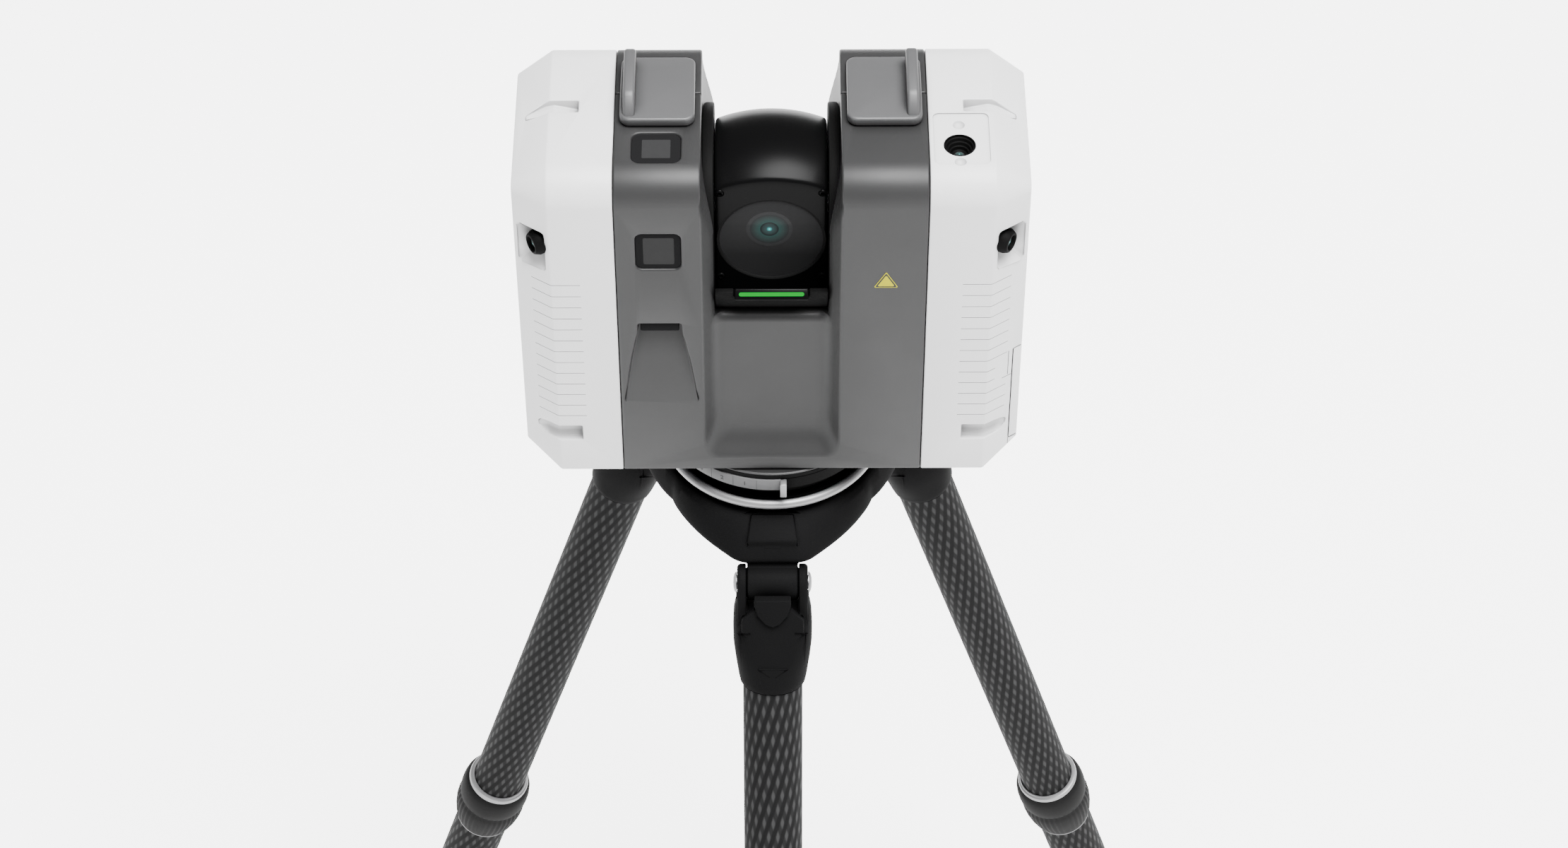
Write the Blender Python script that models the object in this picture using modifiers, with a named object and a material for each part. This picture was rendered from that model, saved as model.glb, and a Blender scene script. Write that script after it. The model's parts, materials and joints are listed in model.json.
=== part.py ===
"""Terrestrial laser scanner on a three-leg carbon tripod, as an assembly of separate parts.

Blender 4.5, metres, +Z up.  The floor is z = 0 and the three feet are centred on the origin.
The scanner is modelled in its own frame, whose origin is on the vertical turning axis at the
underside of the casing: +X is the right-hand tower, -Y is the side of the laser window.
"""

import math

import bmesh
import bpy
from mathutils import Matrix, Vector

MM = 0.001
GAP = 0.3 * MM                    # clearance between pieces that touch

# ---- casing ---------------------------------------------------------------------------------
BODY_WIDTH = 240 * MM
BODY_DEPTH = 104 * MM
BODY_HEIGHT = 190 * MM
EDGE_RADIUS = 16 * MM             # rounding of the long top edges
FACET_X = 16.7 * MM               # chamfer round each side face, along X
FACET_YZ = 11.3 * MM              # the same chamfer, along Y and Z
SEAM_X = 72.7 * MM                # joint between grey and white covers
WALL = 2.4 * MM
SPLIT_Y = 11 * MM                 # joint between front and rear covers, under the battery caps
HALF_X = BODY_WIDTH / 2
HALF_Y = BODY_DEPTH / 2

# ---- throat between the towers --------------------------------------------------------------
THROAT_TOP_X = 32.5 * MM
THROAT_LOW_X = 27 * MM
THROAT_EDGE_X = 32.8 * MM
THROAT_BEND = (150 * MM, 178 * MM)    # heights between which the towers' inner walls step in
THROAT_FLOOR_Z = 98 * MM
THROAT_INSET_Y = 44 * MM              # depth plane of the panel under the rotor
POCKET_FOOT_Z = 9 * MM
POCKET_FLOOR_Z = 19 * MM

# ---- rotor ----------------------------------------------------------------------------------
ROTOR_Z = 129.5 * MM
ROTOR_RADIUS = 45.4 * MM
ROTOR_END_RADIUS = 40.6 * MM
ROTOR_HALF = 26.4 * MM
ROTOR_FLAT_Y = -25 * MM
ROTOR_WALL = 2.6 * MM
WINDOW_RADIUS = 25.6 * MM
SHAFT_RADIUS = 6 * MM
SHAFT_COLLAR = 8 * MM
CRADLE_INNER = 46.2 * MM
CRADLE_OUTER = 49.5 * MM
CRADLE_HALF = 26.7 * MM
CHEEK_BORE = 9.5 * MM              # clearance round each shaft in the towers' inner walls
LIGHT_BAR_AT = (0, -46.9 * MM, -14.4 * MM)
LIGHT_BAR_TILT = math.radians(-44)
LIGHT_BAR_HALF = (20 * MM, 1.5 * MM, 2.8 * MM)

# ---- battery caps ---------------------------------------------------------------------------
CAP_X = (35.4 * MM, 70.2 * MM)
CAP_Y = (-13 * MM, 35 * MM)
CAP_HEIGHT = 5.1 * MM
FIN_X = (63 * MM, 68 * MM)
FIN_TOP_Z = 204 * MM
FIN_Y = (-6.7 * MM, 28.4 * MM)
BATTERY_X = (44.4 * MM, 67 * MM)
BATTERY_Y = (-9 * MM, 31 * MM)
BATTERY_Z = (62 * MM, 187 * MM)

# ---- cast frame inside the covers -----------------------------------------------------------
TOWER_X = 35 * MM
CHASSIS_X = 69.5 * MM
CHASSIS_Y = (-38 * MM, 36 * MM)
CHASSIS_BASE_Z = (2 * MM, 76 * MM)
CHASSIS_TOWER_Y = (-14 * MM, 36 * MM)
CHASSIS_TOP_Z = 186.5 * MM
BEARING_RADIUS = 14 * MM
SPINDLE_RADIUS = 14 * MM
AZIMUTH_BEARING_RADIUS = 24 * MM
LASER_BAY = ((-28 * MM, 28 * MM), (-40 * MM, 2 * MM), (40 * MM, 72 * MM))

# ---- cameras, display, door -----------------------------------------------------------------
TOP_WINDOW = ((-64.5 * MM, -41.5 * MM), (-36.8 * MM, -16.5 * MM))
FRONT_WINDOW = ((-63.3 * MM, -41.9 * MM), (136.2 * MM, 158.8 * MM))
CHUTE_SLOT = ((-62.5 * MM, -43.5 * MM), (93.9 * MM, 100.5 * MM))
CHUTE_FOOT = ((-70.8 * MM, -36.2 * MM), 48.7 * MM)
CORNER_RECESS_Z = (134 * MM, 158 * MM)
SKY_CAMERA = (87 * MM, -25 * MM)
SKY_RADIUS = 7.5 * MM
DISPLAY_Y = 31 * MM
DISPLAY_Z = (62 * MM, 152 * MM)
BUTTON_Z = 34 * MM
BUTTON_RADIUS = 8.5 * MM
DOOR_X = 115.6 * MM
DOOR_Z = (12.5 * MM, 75 * MM)
DOOR_SILL_GAP = 0.8 * MM          # room for the lower edge to turn
DOOR_HINGE = (119 * MM, 0, 13.9 * MM)
PORT_Y = 14 * MM
PORT_Z = (28 * MM, 52 * MM)
FAR = 300 * MM                    # reach of a cutter that clears the whole casing

# ---- tripod ---------------------------------------------------------------------------------
HINGE_RADIUS = 75 * MM
HINGE_Z = -58 * MM
SPREAD = math.radians(17.2)
LEG_LENGTH = 730 * MM
SLEEVE_RADIUS = 19.8 * MM
EAR_OUTER = 17.6 * MM
EAR_INNER = 13.1 * MM
ARM_HALF = 12.7 * MM
BOLT_HEAD = 1.7 * MM
UPPER_RADIUS = 15.0 * MM
LOWER_RADIUS = 15.7 * MM
LOWER_BORE = 15.3 * MM
BRACKET_RIM = 57.5 * MM
COLLAR_TOP = 384 * MM
COLLAR_END = 431 * MM
BODY_Z = LEG_LENGTH * math.cos(SPREAD) - HINGE_Z
FOOT_RADIUS = HINGE_RADIUS + LEG_LENGTH * math.sin(SPREAD)
AXIS_Y = FOOT_RADIUS / 4          # puts the feet's box centre on the origin
LEG_TURNS = {"front": 0.0, "right": math.radians(120), "left": math.radians(-120)}

SIDES = {"left": -1, "right": 1}


# ---- scene helpers --------------------------------------------------------------------------
def clear_scene():
    for thing in list(bpy.data.objects):
        bpy.data.objects.remove(thing, do_unlink=True)


def new_collection(name):
    made = bpy.data.collections.new(name)
    bpy.context.scene.collection.children.link(made)
    return made


clear_scene()
PARTS = new_collection("laser_scanner")
CUTTERS = new_collection("cutters")


def material(name, color, roughness, metallic=0.0):
    found = bpy.data.materials.get(name)
    if found:
        return found
    made = bpy.data.materials.new(name)
    made.use_nodes = True
    shader = made.node_tree.nodes["Principled BSDF"]
    shader.inputs["Base Color"].default_value = (*color, 1.0)
    shader.inputs["Roughness"].default_value = roughness
    shader.inputs["Metallic"].default_value = metallic
    made.diffuse_color = (*color, 1.0)
    return made


def white_plastic():
    return material("white_plastic", (0.82, 0.82, 0.81), 0.42)


def grey_paint():
    return material("grey_paint", (0.24, 0.24, 0.25), 0.5, 0.1)


def black_plastic():
    return material("black_plastic", (0.015, 0.015, 0.016), 0.35)


def gloss_black():
    return material("gloss_black", (0.01, 0.01, 0.011), 0.12)


def dark_glass():
    return material("dark_glass", (0.02, 0.022, 0.024), 0.05)


def aluminium():
    return material("aluminium", (0.62, 0.62, 0.63), 0.32, 1.0)


def dark_alloy():
    return material("dark_alloy", (0.09, 0.09, 0.095), 0.45, 0.6)


def steel():
    return material("steel", (0.55, 0.55, 0.57), 0.25, 1.0)


def carbon():
    return material("carbon", (0.06, 0.06, 0.065), 0.35)


def rubber():
    return material("rubber", (0.02, 0.02, 0.02), 0.8)


def green_light():
    return material("green_light", (0.05, 0.8, 0.12), 0.3)


def board_green():
    return material("board_green", (0.02, 0.2, 0.08), 0.5)


def battery_grey():
    return material("battery_grey", (0.12, 0.12, 0.13), 0.55)


def new_empty(name, location, rotation=(0, 0, 0), parent=None):
    made = bpy.data.objects.new(name, None)
    made.location = location
    made.rotation_euler = rotation
    made.parent = parent
    PARTS.objects.link(made)
    return made


def place(made, finish, parent, location, rotation):
    """Put an object in the parts, or in the cutters when it has no finish."""
    made.location = location
    made.rotation_euler = rotation
    made.parent = parent
    if finish is None:
        CUTTERS.objects.link(made)
        made.hide_render = True
        made.display_type = "WIRE"
    else:
        PARTS.objects.link(made)
        made.data.materials.append(finish)
    return made


def from_bmesh(name, bm, finish, parent, location=(0, 0, 0), rotation=(0, 0, 0)):
    mesh = bpy.data.meshes.new(name)
    bm.to_mesh(mesh)
    bm.free()
    return place(bpy.data.objects.new(name, mesh), finish, parent, location, rotation)


def round_edges(thing, width, segments=2, angle=35):
    bevel = thing.modifiers.new("round", "BEVEL")
    bevel.width = width
    bevel.segments = segments
    bevel.limit_method = "ANGLE"
    bevel.angle_limit = math.radians(angle)
    return thing


def boolean(thing, other, operation):
    step = thing.modifiers.new(operation.lower(), "BOOLEAN")
    step.operation = operation
    step.solver = "EXACT"
    step.object = other
    return thing


def cut(thing, *cutters):
    for cutter in cutters:
        boolean(thing, cutter, "DIFFERENCE")
    return thing


def join(thing, *pieces):
    for piece in pieces:
        boolean(thing, piece, "UNION")
    return thing


def smooth(thing, angle=35):
    thing.data.shade_smooth()
    thing.data.set_sharp_from_angle(angle=math.radians(angle))
    return thing


def box(name, x, y, z, finish, parent, rotation=(0, 0, 0), around=None):
    """A box from its x, y and z ranges; around is the point that its origin and turn are at."""
    low = Vector((x[0], y[0], z[0]))
    high = Vector((x[1], y[1], z[1]))
    centre = (low + high) / 2
    origin = centre if around is None else Vector(around)
    bm = bmesh.new()
    bmesh.ops.create_cube(bm, size=1.0)
    bmesh.ops.scale(bm, vec=high - low, verts=bm.verts)
    bmesh.ops.translate(bm, vec=centre - origin, verts=bm.verts)
    return from_bmesh(name, bm, finish, parent, origin, rotation)


AXIS_TURN = {"X": (0, math.pi / 2, 0), "Y": (-math.pi / 2, 0, 0), "Z": (0, 0, 0)}


def cylinder(name, radius, span, finish, parent, axis="Z", at=(0, 0, 0), sides=24):
    """A cylinder along an axis through at, from span[0] to span[1] along that axis."""
    length = span[1] - span[0]
    bm = bmesh.new()
    bmesh.ops.create_cone(
        bm, cap_ends=True, segments=sides, radius1=radius, radius2=radius, depth=length
    )
    bmesh.ops.translate(bm, vec=(0, 0, (span[0] + span[1]) / 2), verts=bm.verts)
    return smooth(from_bmesh(name, bm, finish, parent, at, AXIS_TURN[axis]))


def turned(name, profile, finish, parent, axis="Z", at=(0, 0, 0), steps=24, closed=True):
    """A profile of (radius, height) turned about an axis through at.

    The profile runs down its outer side.  A closed one makes a ring; an open one starts and
    ends on the axis.
    """
    bm = bmesh.new()
    points = [bm.verts.new((radius, 0, height)) for radius, height in profile]
    for first, second in zip(points, points[1:]):
        bm.edges.new((first, second))
    if closed:
        bm.edges.new((points[-1], points[0]))
    made = from_bmesh(name, bm, finish, parent, at, AXIS_TURN[axis])
    screw = made.modifiers.new("turn", "SCREW")
    screw.axis = "Z"
    screw.angle = 2 * math.pi
    screw.steps = steps
    screw.render_steps = steps
    screw.use_merge_vertices = True
    screw.merge_threshold = 1e-6
    screw.use_normal_calculate = False
    return made


def ring(name, inner, outer, span, finish, parent, axis="Z", at=(0, 0, 0), steps=24):
    profile = [(outer, span[1]), (outer, span[0]), (inner, span[0]), (inner, span[1])]
    return turned(name, profile, finish, parent, axis, at, steps)


def hull(name, points, finish, parent, location=(0, 0, 0), rotation=(0, 0, 0)):
    bm = bmesh.new()
    corners = [bm.verts.new(point) for point in points]
    bmesh.ops.convex_hull(bm, input=corners)
    bmesh.ops.recalc_face_normals(bm, faces=bm.faces)
    return from_bmesh(name, bm, finish, parent, location, rotation)


def prism(name, outline, span, plane, finish, parent, location=(0, 0, 0), rotation=(0, 0, 0)):
    """An outline of two coordinates swept along the plane's third axis over span."""
    order = {"XY": (0, 1, 2), "XZ": (0, 2, 1), "YZ": (1, 2, 0)}[plane]
    bm = bmesh.new()
    corners = []
    for first, second in outline:
        spot = [0.0, 0.0, 0.0]
        spot[order[0]] = first
        spot[order[1]] = second
        spot[order[2]] = span[0]
        corners.append(bm.verts.new(spot))
    face = bm.faces.new(corners)
    sweep = [0.0, 0.0, 0.0]
    sweep[order[2]] = span[1] - span[0]
    grown = bmesh.ops.extrude_face_region(bm, geom=[face])
    moved = [part for part in grown["geom"] if isinstance(part, bmesh.types.BMVert)]
    bmesh.ops.translate(bm, vec=sweep, verts=moved)
    bmesh.ops.recalc_face_normals(bm, faces=bm.faces)
    return from_bmesh(name, bm, finish, parent, location, rotation)


def arc(centre, radius, start, end, count):
    """Points on an arc, angles in degrees, both ends included."""
    made = []
    for step in range(count + 1):
        angle = math.radians(start + (end - start) * step / count)
        made.append((centre[0] + radius * math.cos(angle), centre[1] + radius * math.sin(angle)))
    return made


# ---- frames ---------------------------------------------------------------------------------
HEAD = new_empty("scanner_frame", (0, AXIS_Y, BODY_Z))
ROTOR = new_empty("rotor_frame", (0, 0, ROTOR_Z), parent=HEAD)
LEGS = {}
for leg_name, leg_turn in LEG_TURNS.items():
    outward = (
        HINGE_RADIUS * math.sin(leg_turn),
        -HINGE_RADIUS * math.cos(leg_turn),
        HINGE_Z,
    )
    LEGS[leg_name] = new_empty("leg_frame_" + leg_name, outward, (-SPREAD, 0, leg_turn), HEAD)


# ---- casing sections ------------------------------------------------------------------------
def casing_outline(inset=0.0, corner_steps=4):
    """The casing's outline in Y and Z, drawn in by inset, rounded at its two top corners."""
    half = HALF_Y - inset
    top = BODY_HEIGHT - inset
    radius = max(EDGE_RADIUS - inset, 1 * MM)
    front = arc((-half + radius, top - radius), radius, 180, 90, corner_steps)
    back = arc((half - radius, top - radius), radius, 90, 0, corner_steps)
    return [(half, inset), (-half, inset)] + front + back


def loft_x(name, sections, finish, parent):
    """A closed skin through casing outlines, given as (x, inset) pairs."""
    bm = bmesh.new()
    loops = []
    for x, inset in sections:
        loops.append([bm.verts.new((x, y, z)) for y, z in casing_outline(inset)])
    for near, far in zip(loops, loops[1:]):
        count = len(near)
        for index in range(count):
            after = (index + 1) % count
            bm.faces.new((near[index], near[after], far[after], far[index]))
    bm.faces.new(loops[-1])
    bm.faces.new(list(reversed(loops[0])))
    bmesh.ops.recalc_face_normals(bm, faces=bm.faces)
    return from_bmesh(name, bm, finish, parent)


def throat_half_width(z):
    """Half the gap between the towers' inner walls: an S-curve between two straight runs."""
    low, high = THROAT_BEND
    share = min(max((z - low) / (high - low), 0.0), 1.0)
    eased = share * share * (3 - 2 * share)
    return THROAT_LOW_X + (THROAT_TOP_X - THROAT_LOW_X) * eased


def throat_cutter():
    """The gap between the towers, right through the casing."""
    bend_steps = 6
    low, high = THROAT_BEND
    heights = [THROAT_FLOOR_Z]
    heights += [low + (high - low) * step / bend_steps for step in range(bend_steps + 1)]
    heights.append(BODY_HEIGHT + 10 * MM)
    right = [(throat_half_width(z), z) for z in heights]
    left = [(-x, z) for x, z in reversed(right)]
    return prism("throat_cutter", right + left, (-HALF_Y - MM, HALF_Y + MM), "XZ", None, HEAD)


def flare_cutter(sign):
    """The splayed front or rear mouth of the throat and the sunken panel below it."""
    face = sign * (HALF_Y + GAP)
    deep = sign * THROAT_INSET_Y
    outside = sign * (HALF_Y + 4 * MM)
    top = BODY_HEIGHT + 10 * MM
    points = []
    for side in (-1, 1):
        points.append((side * THROAT_EDGE_X, face, POCKET_FOOT_Z))
        points.append((side * THROAT_EDGE_X, outside, POCKET_FOOT_Z))
        points.append((side * THROAT_EDGE_X, outside, top))
        points.append((side * THROAT_EDGE_X, face, top))
        points.append((side * THROAT_LOW_X, deep, POCKET_FLOOR_Z))
        points.append((side * THROAT_LOW_X, deep, top))
    return hull("flare_cutter", points, None, HEAD)


def grey_cover(name, sign):
    """Grey cover of the front (sign -1) or the rear: two tower faces and the sunken panel."""
    skin = loft_x(name, [(-SEAM_X + GAP, 0.0), (SEAM_X - GAP, 0.0)], grey_paint(), HEAD)
    split = SPLIT_Y + sign * GAP / 2
    other_half = tuple(sorted((split, -sign * FAR)))
    cut(skin, box("cover_split", (-FAR, FAR), other_half, (-FAR, FAR), None, HEAD))
    inner_x = SEAM_X - GAP - WALL
    shoulder_z = 106 * MM
    over_split = -sign * 40 * MM
    deep = tuple(sorted((over_split, sign * (HALF_Y - WALL))))
    shallow = tuple(sorted((over_split, sign * 41 * MM)))
    for side in (-1, 1):
        span = tuple(sorted((side * TOWER_X, side * inner_x)))
        pocket_z = (shoulder_z, BODY_HEIGHT - WALL)
        shaft_z = (CHASSIS_BASE_Z[1] - 6 * MM, shoulder_z + MM)
        cut(skin, box("tower_pocket", span, deep, pocket_z, None, HEAD))
        cut(skin, box("tower_shaft", span, shallow, shaft_z, None, HEAD))
    base_z = (-MM, CHASSIS_BASE_Z[1] + MM)
    cut(skin, box("base_pocket", (-inner_x, inner_x), shallow, base_z, None, HEAD))
    cut(skin, throat_cutter(), flare_cutter(sign))
    trough_half = CRADLE_HALF + 2 * GAP
    trough = cylinder(
        "trough_cutter", CRADLE_OUTER + GAP, (-trough_half, trough_half), None, HEAD, "X",
        (0, 0, ROTOR_Z), 36,
    )
    cut(skin, trough)
    for side in (-1, 1):
        span = tuple(sorted((side * (CAP_X[0] + 4 * MM), side * (CAP_X[1] - 2.2 * MM))))
        mouth = (CAP_Y[0] + 3 * MM, CAP_Y[1] - 3 * MM)
        cut(skin, box("battery_mouth", span, mouth, (180 * MM, 200 * MM), None, HEAD))
    return skin


def front_cover():
    cover = grey_cover("front_cover", -1)
    shaft_hole = cylinder(
        "shaft_hole", CHEEK_BORE, (-40 * MM, 40 * MM), None, HEAD, "X", (0, 0, ROTOR_Z), 24
    )
    depth = (-HALF_Y - MM, -HALF_Y + 6 * MM)
    top_hole = box("top_window", *TOP_WINDOW, (180 * MM, 195 * MM), None, HEAD)
    front_hole = box("front_window", FRONT_WINDOW[0], depth, FRONT_WINDOW[1], None, HEAD)
    cut(cover, shaft_hole, top_hole, front_hole, chute_cutter())
    return smooth(cover)


def chute_cutter():
    """The recess under the low camera: a deep slot whose floor ramps out to the front face."""
    (x0, x1), (z0, z1) = CHUTE_SLOT
    (foot0, foot1), foot_z = CHUTE_FOOT
    outside = -HALF_Y - 2 * MM
    deep = -HALF_Y + 8.5 * MM
    points = []
    for x in (x0, x1):
        points.append((x, outside, z1))
        points.append((x, deep, z1))
        points.append((x, deep, z0))
    for x in (foot0, foot1):
        points.append((x, outside, foot_z - 12 * MM))
        points.append((x, -HALF_Y - 0.1 * MM, foot_z))
    return hull("chute_cutter", points, None, HEAD)


def rear_cover():
    return smooth(grey_cover("rear_cover", 1))


# ---- white side covers ----------------------------------------------------------------------
def facet_frame(side, front):
    """Location and turn of the middle of a vertical facet; local -Y points out of the casing."""
    x = side * (HALF_X - FACET_X / 2)
    y = front * (HALF_Y - FACET_YZ / 2)
    lean = math.atan2(FACET_YZ, FACET_X)
    if front < 0:
        turn = side * lean
    else:
        turn = math.pi - side * lean
    return (x, y, sum(CORNER_RECESS_Z) / 2), (0, 0, turn)


def corner_recess(side, front):
    place_at, turn = facet_frame(side, front)
    half = (CORNER_RECESS_Z[1] - CORNER_RECESS_Z[0]) / 2
    width = 8.2 * MM
    made = box(
        "corner_recess", (-width, width), (-6 * MM, 7 * MM), (-half, half), None, HEAD,
        turn, (0, 0, 0),
    )
    made.location = place_at
    return made


def side_cover(name, side):
    """White side cover: a shell, open towards the tower, with its corner-camera windows."""
    inner = side * (SEAM_X + GAP)
    knee = side * (HALF_X - FACET_X)
    end = side * HALF_X
    cover = loft_x(name, [(inner, 0.0), (knee, 0.0), (end, FACET_YZ)], white_plastic(), HEAD)
    hollow_end = side * (HALF_X - WALL)
    hollow = loft_x(
        name + "_hollow",
        [(inner - side * 2 * MM, WALL), (knee, WALL), (hollow_end, FACET_YZ + 1.2 * MM)],
        None, HEAD,
    )
    cut(cover, hollow)
    for front in (-1, 1):
        cut(cover, corner_recess(side, front))
    if side > 0:
        cut(cover, door_opening(), sky_opening())
    else:
        cut(cover, display_opening(), button_opening())
    return smooth(cover)


def door_opening():
    return box(
        "door_opening", (DOOR_X, HALF_X + MM), (-HALF_Y, HALF_Y), DOOR_Z, None, HEAD
    )


def sky_opening():
    at = (*SKY_CAMERA, 0)
    return cylinder("sky_opening", SKY_RADIUS, (180 * MM, 200 * MM), None, HEAD, at=at, sides=24)


def display_opening():
    return box(
        "display_opening", (-HALF_X - MM, -HALF_X + 8 * MM), (-DISPLAY_Y, DISPLAY_Y), DISPLAY_Z,
        None, HEAD,
    )


def button_opening():
    return cylinder(
        "button_opening", BUTTON_RADIUS + GAP, (-HALF_X - MM, -HALF_X + 8 * MM), None, HEAD, "X",
        (0, 0, BUTTON_Z), 24,
    )


def corner_camera(name, side, front):
    """Wide-angle camera block set into the recess of a facet."""
    place_at, turn = facet_frame(side, front)
    half = (CORNER_RECESS_Z[1] - CORNER_RECESS_Z[0]) / 2 - 2 * GAP
    width = 7.8 * MM
    made = box(
        name, (-width, width), (2.2 * MM, 6.6 * MM), (-half, half), black_plastic(), HEAD,
        turn, (0, 0, 0),
    )
    made.location = place_at
    return round_edges(made, 1.2 * MM)


def side_door():
    """Service door on the right side face, hinged along its lower edge."""
    hinge = new_empty("door_hinge_frame", DOOR_HINGE, parent=HEAD)
    door = loft_x(
        "side_door", [(HALF_X - FACET_X, 0.0), (HALF_X, FACET_YZ)], white_plastic(), hinge
    )
    door.location = -Vector(DOOR_HINGE)
    wide = (-FAR, FAR)
    behind = box("door_behind", (0, DOOR_X + GAP), wide, wide, None, HEAD)
    above = box("door_above", (0, FAR), wide, (DOOR_Z[1] - GAP, FAR), None, HEAD)
    below = box("door_below", (0, FAR), wide, (-FAR, DOOR_Z[0] + DOOR_SILL_GAP), None, HEAD)
    return smooth(cut(door, behind, above, below))


def door_port():
    """Connector block behind the service door."""
    made = box(
        "service_port", (104 * MM, DOOR_X - 1.5 * MM), (-PORT_Y, PORT_Y), PORT_Z, dark_alloy(), HEAD
    )
    return round_edges(made, 1 * MM)


def door_port_opening():
    room = 0.5 * MM
    return box(
        "port_opening", (HALF_X - 8 * MM, HALF_X), (-PORT_Y - room, PORT_Y + room),
        (PORT_Z[0] - room, PORT_Z[1] + room), None, HEAD,
    )


def sky_camera():
    radius = SKY_RADIUS - GAP
    base = 168 * MM
    top = BODY_HEIGHT - 0.2 * MM
    profile = [
        (0, top - 9 * MM), (2.2 * MM, top - 9 * MM), (radius - 1 * MM, top), (radius, top),
        (radius, base), (0, base),
    ]
    return turned(
        "sky_camera", profile, black_plastic(), HEAD, at=(*SKY_CAMERA, 0), steps=24, closed=False
    )


def touchscreen():
    return round_edges(
        box(
            "touchscreen", (-HALF_X + 0.2 * MM, -HALF_X + 5 * MM),
            (-DISPLAY_Y + GAP, DISPLAY_Y - GAP), (DISPLAY_Z[0] + GAP, DISPLAY_Z[1] - GAP),
            dark_glass(), HEAD,
        ),
        0.8 * MM, 1,
    )


def power_button():
    made = cylinder(
        "power_button", BUTTON_RADIUS, (-2.7 * MM, 3.3 * MM), steel(), HEAD, "X",
        (-HALF_X + 2 * MM, 0, BUTTON_Z), 24,
    )
    return round_edges(made, 0.8 * MM, 1)


# ---- battery caps and batteries -------------------------------------------------------------
def battery_cap(name, side):
    """Cap over a battery well with its grip fin; its origin is on the hinge at its inner edge."""
    hinge = (side * CAP_X[0], sum(CAP_Y) / 2, BODY_HEIGHT + 2 * MM)
    x = tuple(sorted((side * CAP_X[0], side * CAP_X[1])))
    z = (BODY_HEIGHT + GAP, BODY_HEIGHT + CAP_HEIGHT)
    plate = box(name, x, CAP_Y, z, grey_paint(), HEAD, around=hinge)
    round_edges(plate, 1.6 * MM, 2)
    foot = 4.2 * MM
    low = BODY_HEIGHT + 2 * MM
    outline = [
        (FIN_Y[0] - foot, low), (FIN_Y[1] + foot, low), (FIN_Y[1] + foot, low + 2.4 * MM),
        (FIN_Y[1], FIN_TOP_Z), (FIN_Y[0], FIN_TOP_Z), (FIN_Y[0] - foot, low + 2.4 * MM),
    ]
    span = tuple(sorted((side * FIN_X[0], side * FIN_X[1])))
    fin = prism(name + "_fin", outline, span, "YZ", None, HEAD)
    return smooth(join(plate, fin))


def battery(name, side):
    x = tuple(sorted((side * BATTERY_X[0], side * BATTERY_X[1])))
    made = box(name, x, BATTERY_Y, BATTERY_Z, battery_grey(), HEAD)
    return round_edges(made, 2 * MM, 1)


# ---- inner structure ------------------------------------------------------------------------
def chassis():
    """Cast frame: a base block and two tower frames that carry the rotor and the batteries."""
    base = box(
        "chassis", (-CHASSIS_X, CHASSIS_X), CHASSIS_Y, CHASSIS_BASE_Z, dark_alloy(), HEAD
    )
    tower_z = (CHASSIS_BASE_Z[1] - 2 * MM, CHASSIS_TOP_Z)
    for side in (-1, 1):
        span = tuple(sorted((side * (TOWER_X + 0.4 * MM), side * CHASSIS_X)))
        join(base, box("tower_frame", span, CHASSIS_TOWER_Y, tower_z, None, HEAD))
    for side in (-1, 1):
        well_x = tuple(sorted((side * (BATTERY_X[0] - GAP), side * (BATTERY_X[1] + GAP))))
        well_y = (BATTERY_Y[0] - GAP, BATTERY_Y[1] + GAP)
        well_z = (BATTERY_Z[0] - GAP, 190 * MM)
        cut(base, box("battery_well", well_x, well_y, well_z, None, HEAD))
    bearing_bore = cylinder(
        "rotor_bearing_bore", BEARING_RADIUS + GAP, (-60 * MM, 60 * MM), None, HEAD, "X",
        (0, 0, ROTOR_Z), 24,
    )
    outer_bore = cylinder("azimuth_bore", AZIMUTH_BEARING_RADIUS + GAP, (0, 18 * MM), None, HEAD)
    inner_bore = cylinder("spindle_bore", SPINDLE_RADIUS + 3 * MM, (10 * MM, 36 * MM), None, HEAD)
    cut(base, bearing_bore, outer_bore, inner_bore, box("laser_bay", *LASER_BAY, None, HEAD))
    return smooth(base)


def laser_module():
    (x0, x1), (_, y1), (z0, z1) = LASER_BAY
    room = 1 * MM
    made = box(
        "laser_module", (x0 + room, x1 - room), (CHASSIS_Y[0] + room, y1 - room),
        (z0 + room, z1 - room), aluminium(), HEAD,
    )
    return round_edges(made, 2 * MM, 1)


def main_board():
    return box(
        "main_board", (-45 * MM, 45 * MM), (36.6 * MM, 38.6 * MM), (10 * MM, 70 * MM),
        board_green(), HEAD,
    )


def hdr_cameras():
    """Three colour cameras behind the windows of the left tower."""
    (x0, x1), (y0, y1) = TOP_WINDOW
    top = box(
        "hdr_camera_top", (x0 + GAP, x1 - GAP), (y0 + GAP, y1 - GAP), (164 * MM, 189.4 * MM),
        dark_glass(), HEAD,
    )
    (x0, x1), (z0, z1) = FRONT_WINDOW
    middle = box(
        "hdr_camera_front", (x0 + GAP, x1 - GAP), (-HALF_Y + 0.8 * MM, -20 * MM),
        (z0 + GAP, z1 - GAP), dark_glass(), HEAD,
    )
    (x0, x1), (z0, z1) = CHUTE_SLOT
    low = box(
        "hdr_camera_low", (x0 + GAP, x1 - GAP), (-HALF_Y + 3.5 * MM, -HALF_Y + 8.2 * MM),
        (z0 + GAP, z1 - GAP), dark_glass(), HEAD,
    )
    for camera in (top, middle, low):
        round_edges(camera, 1.5 * MM, 1)


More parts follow.
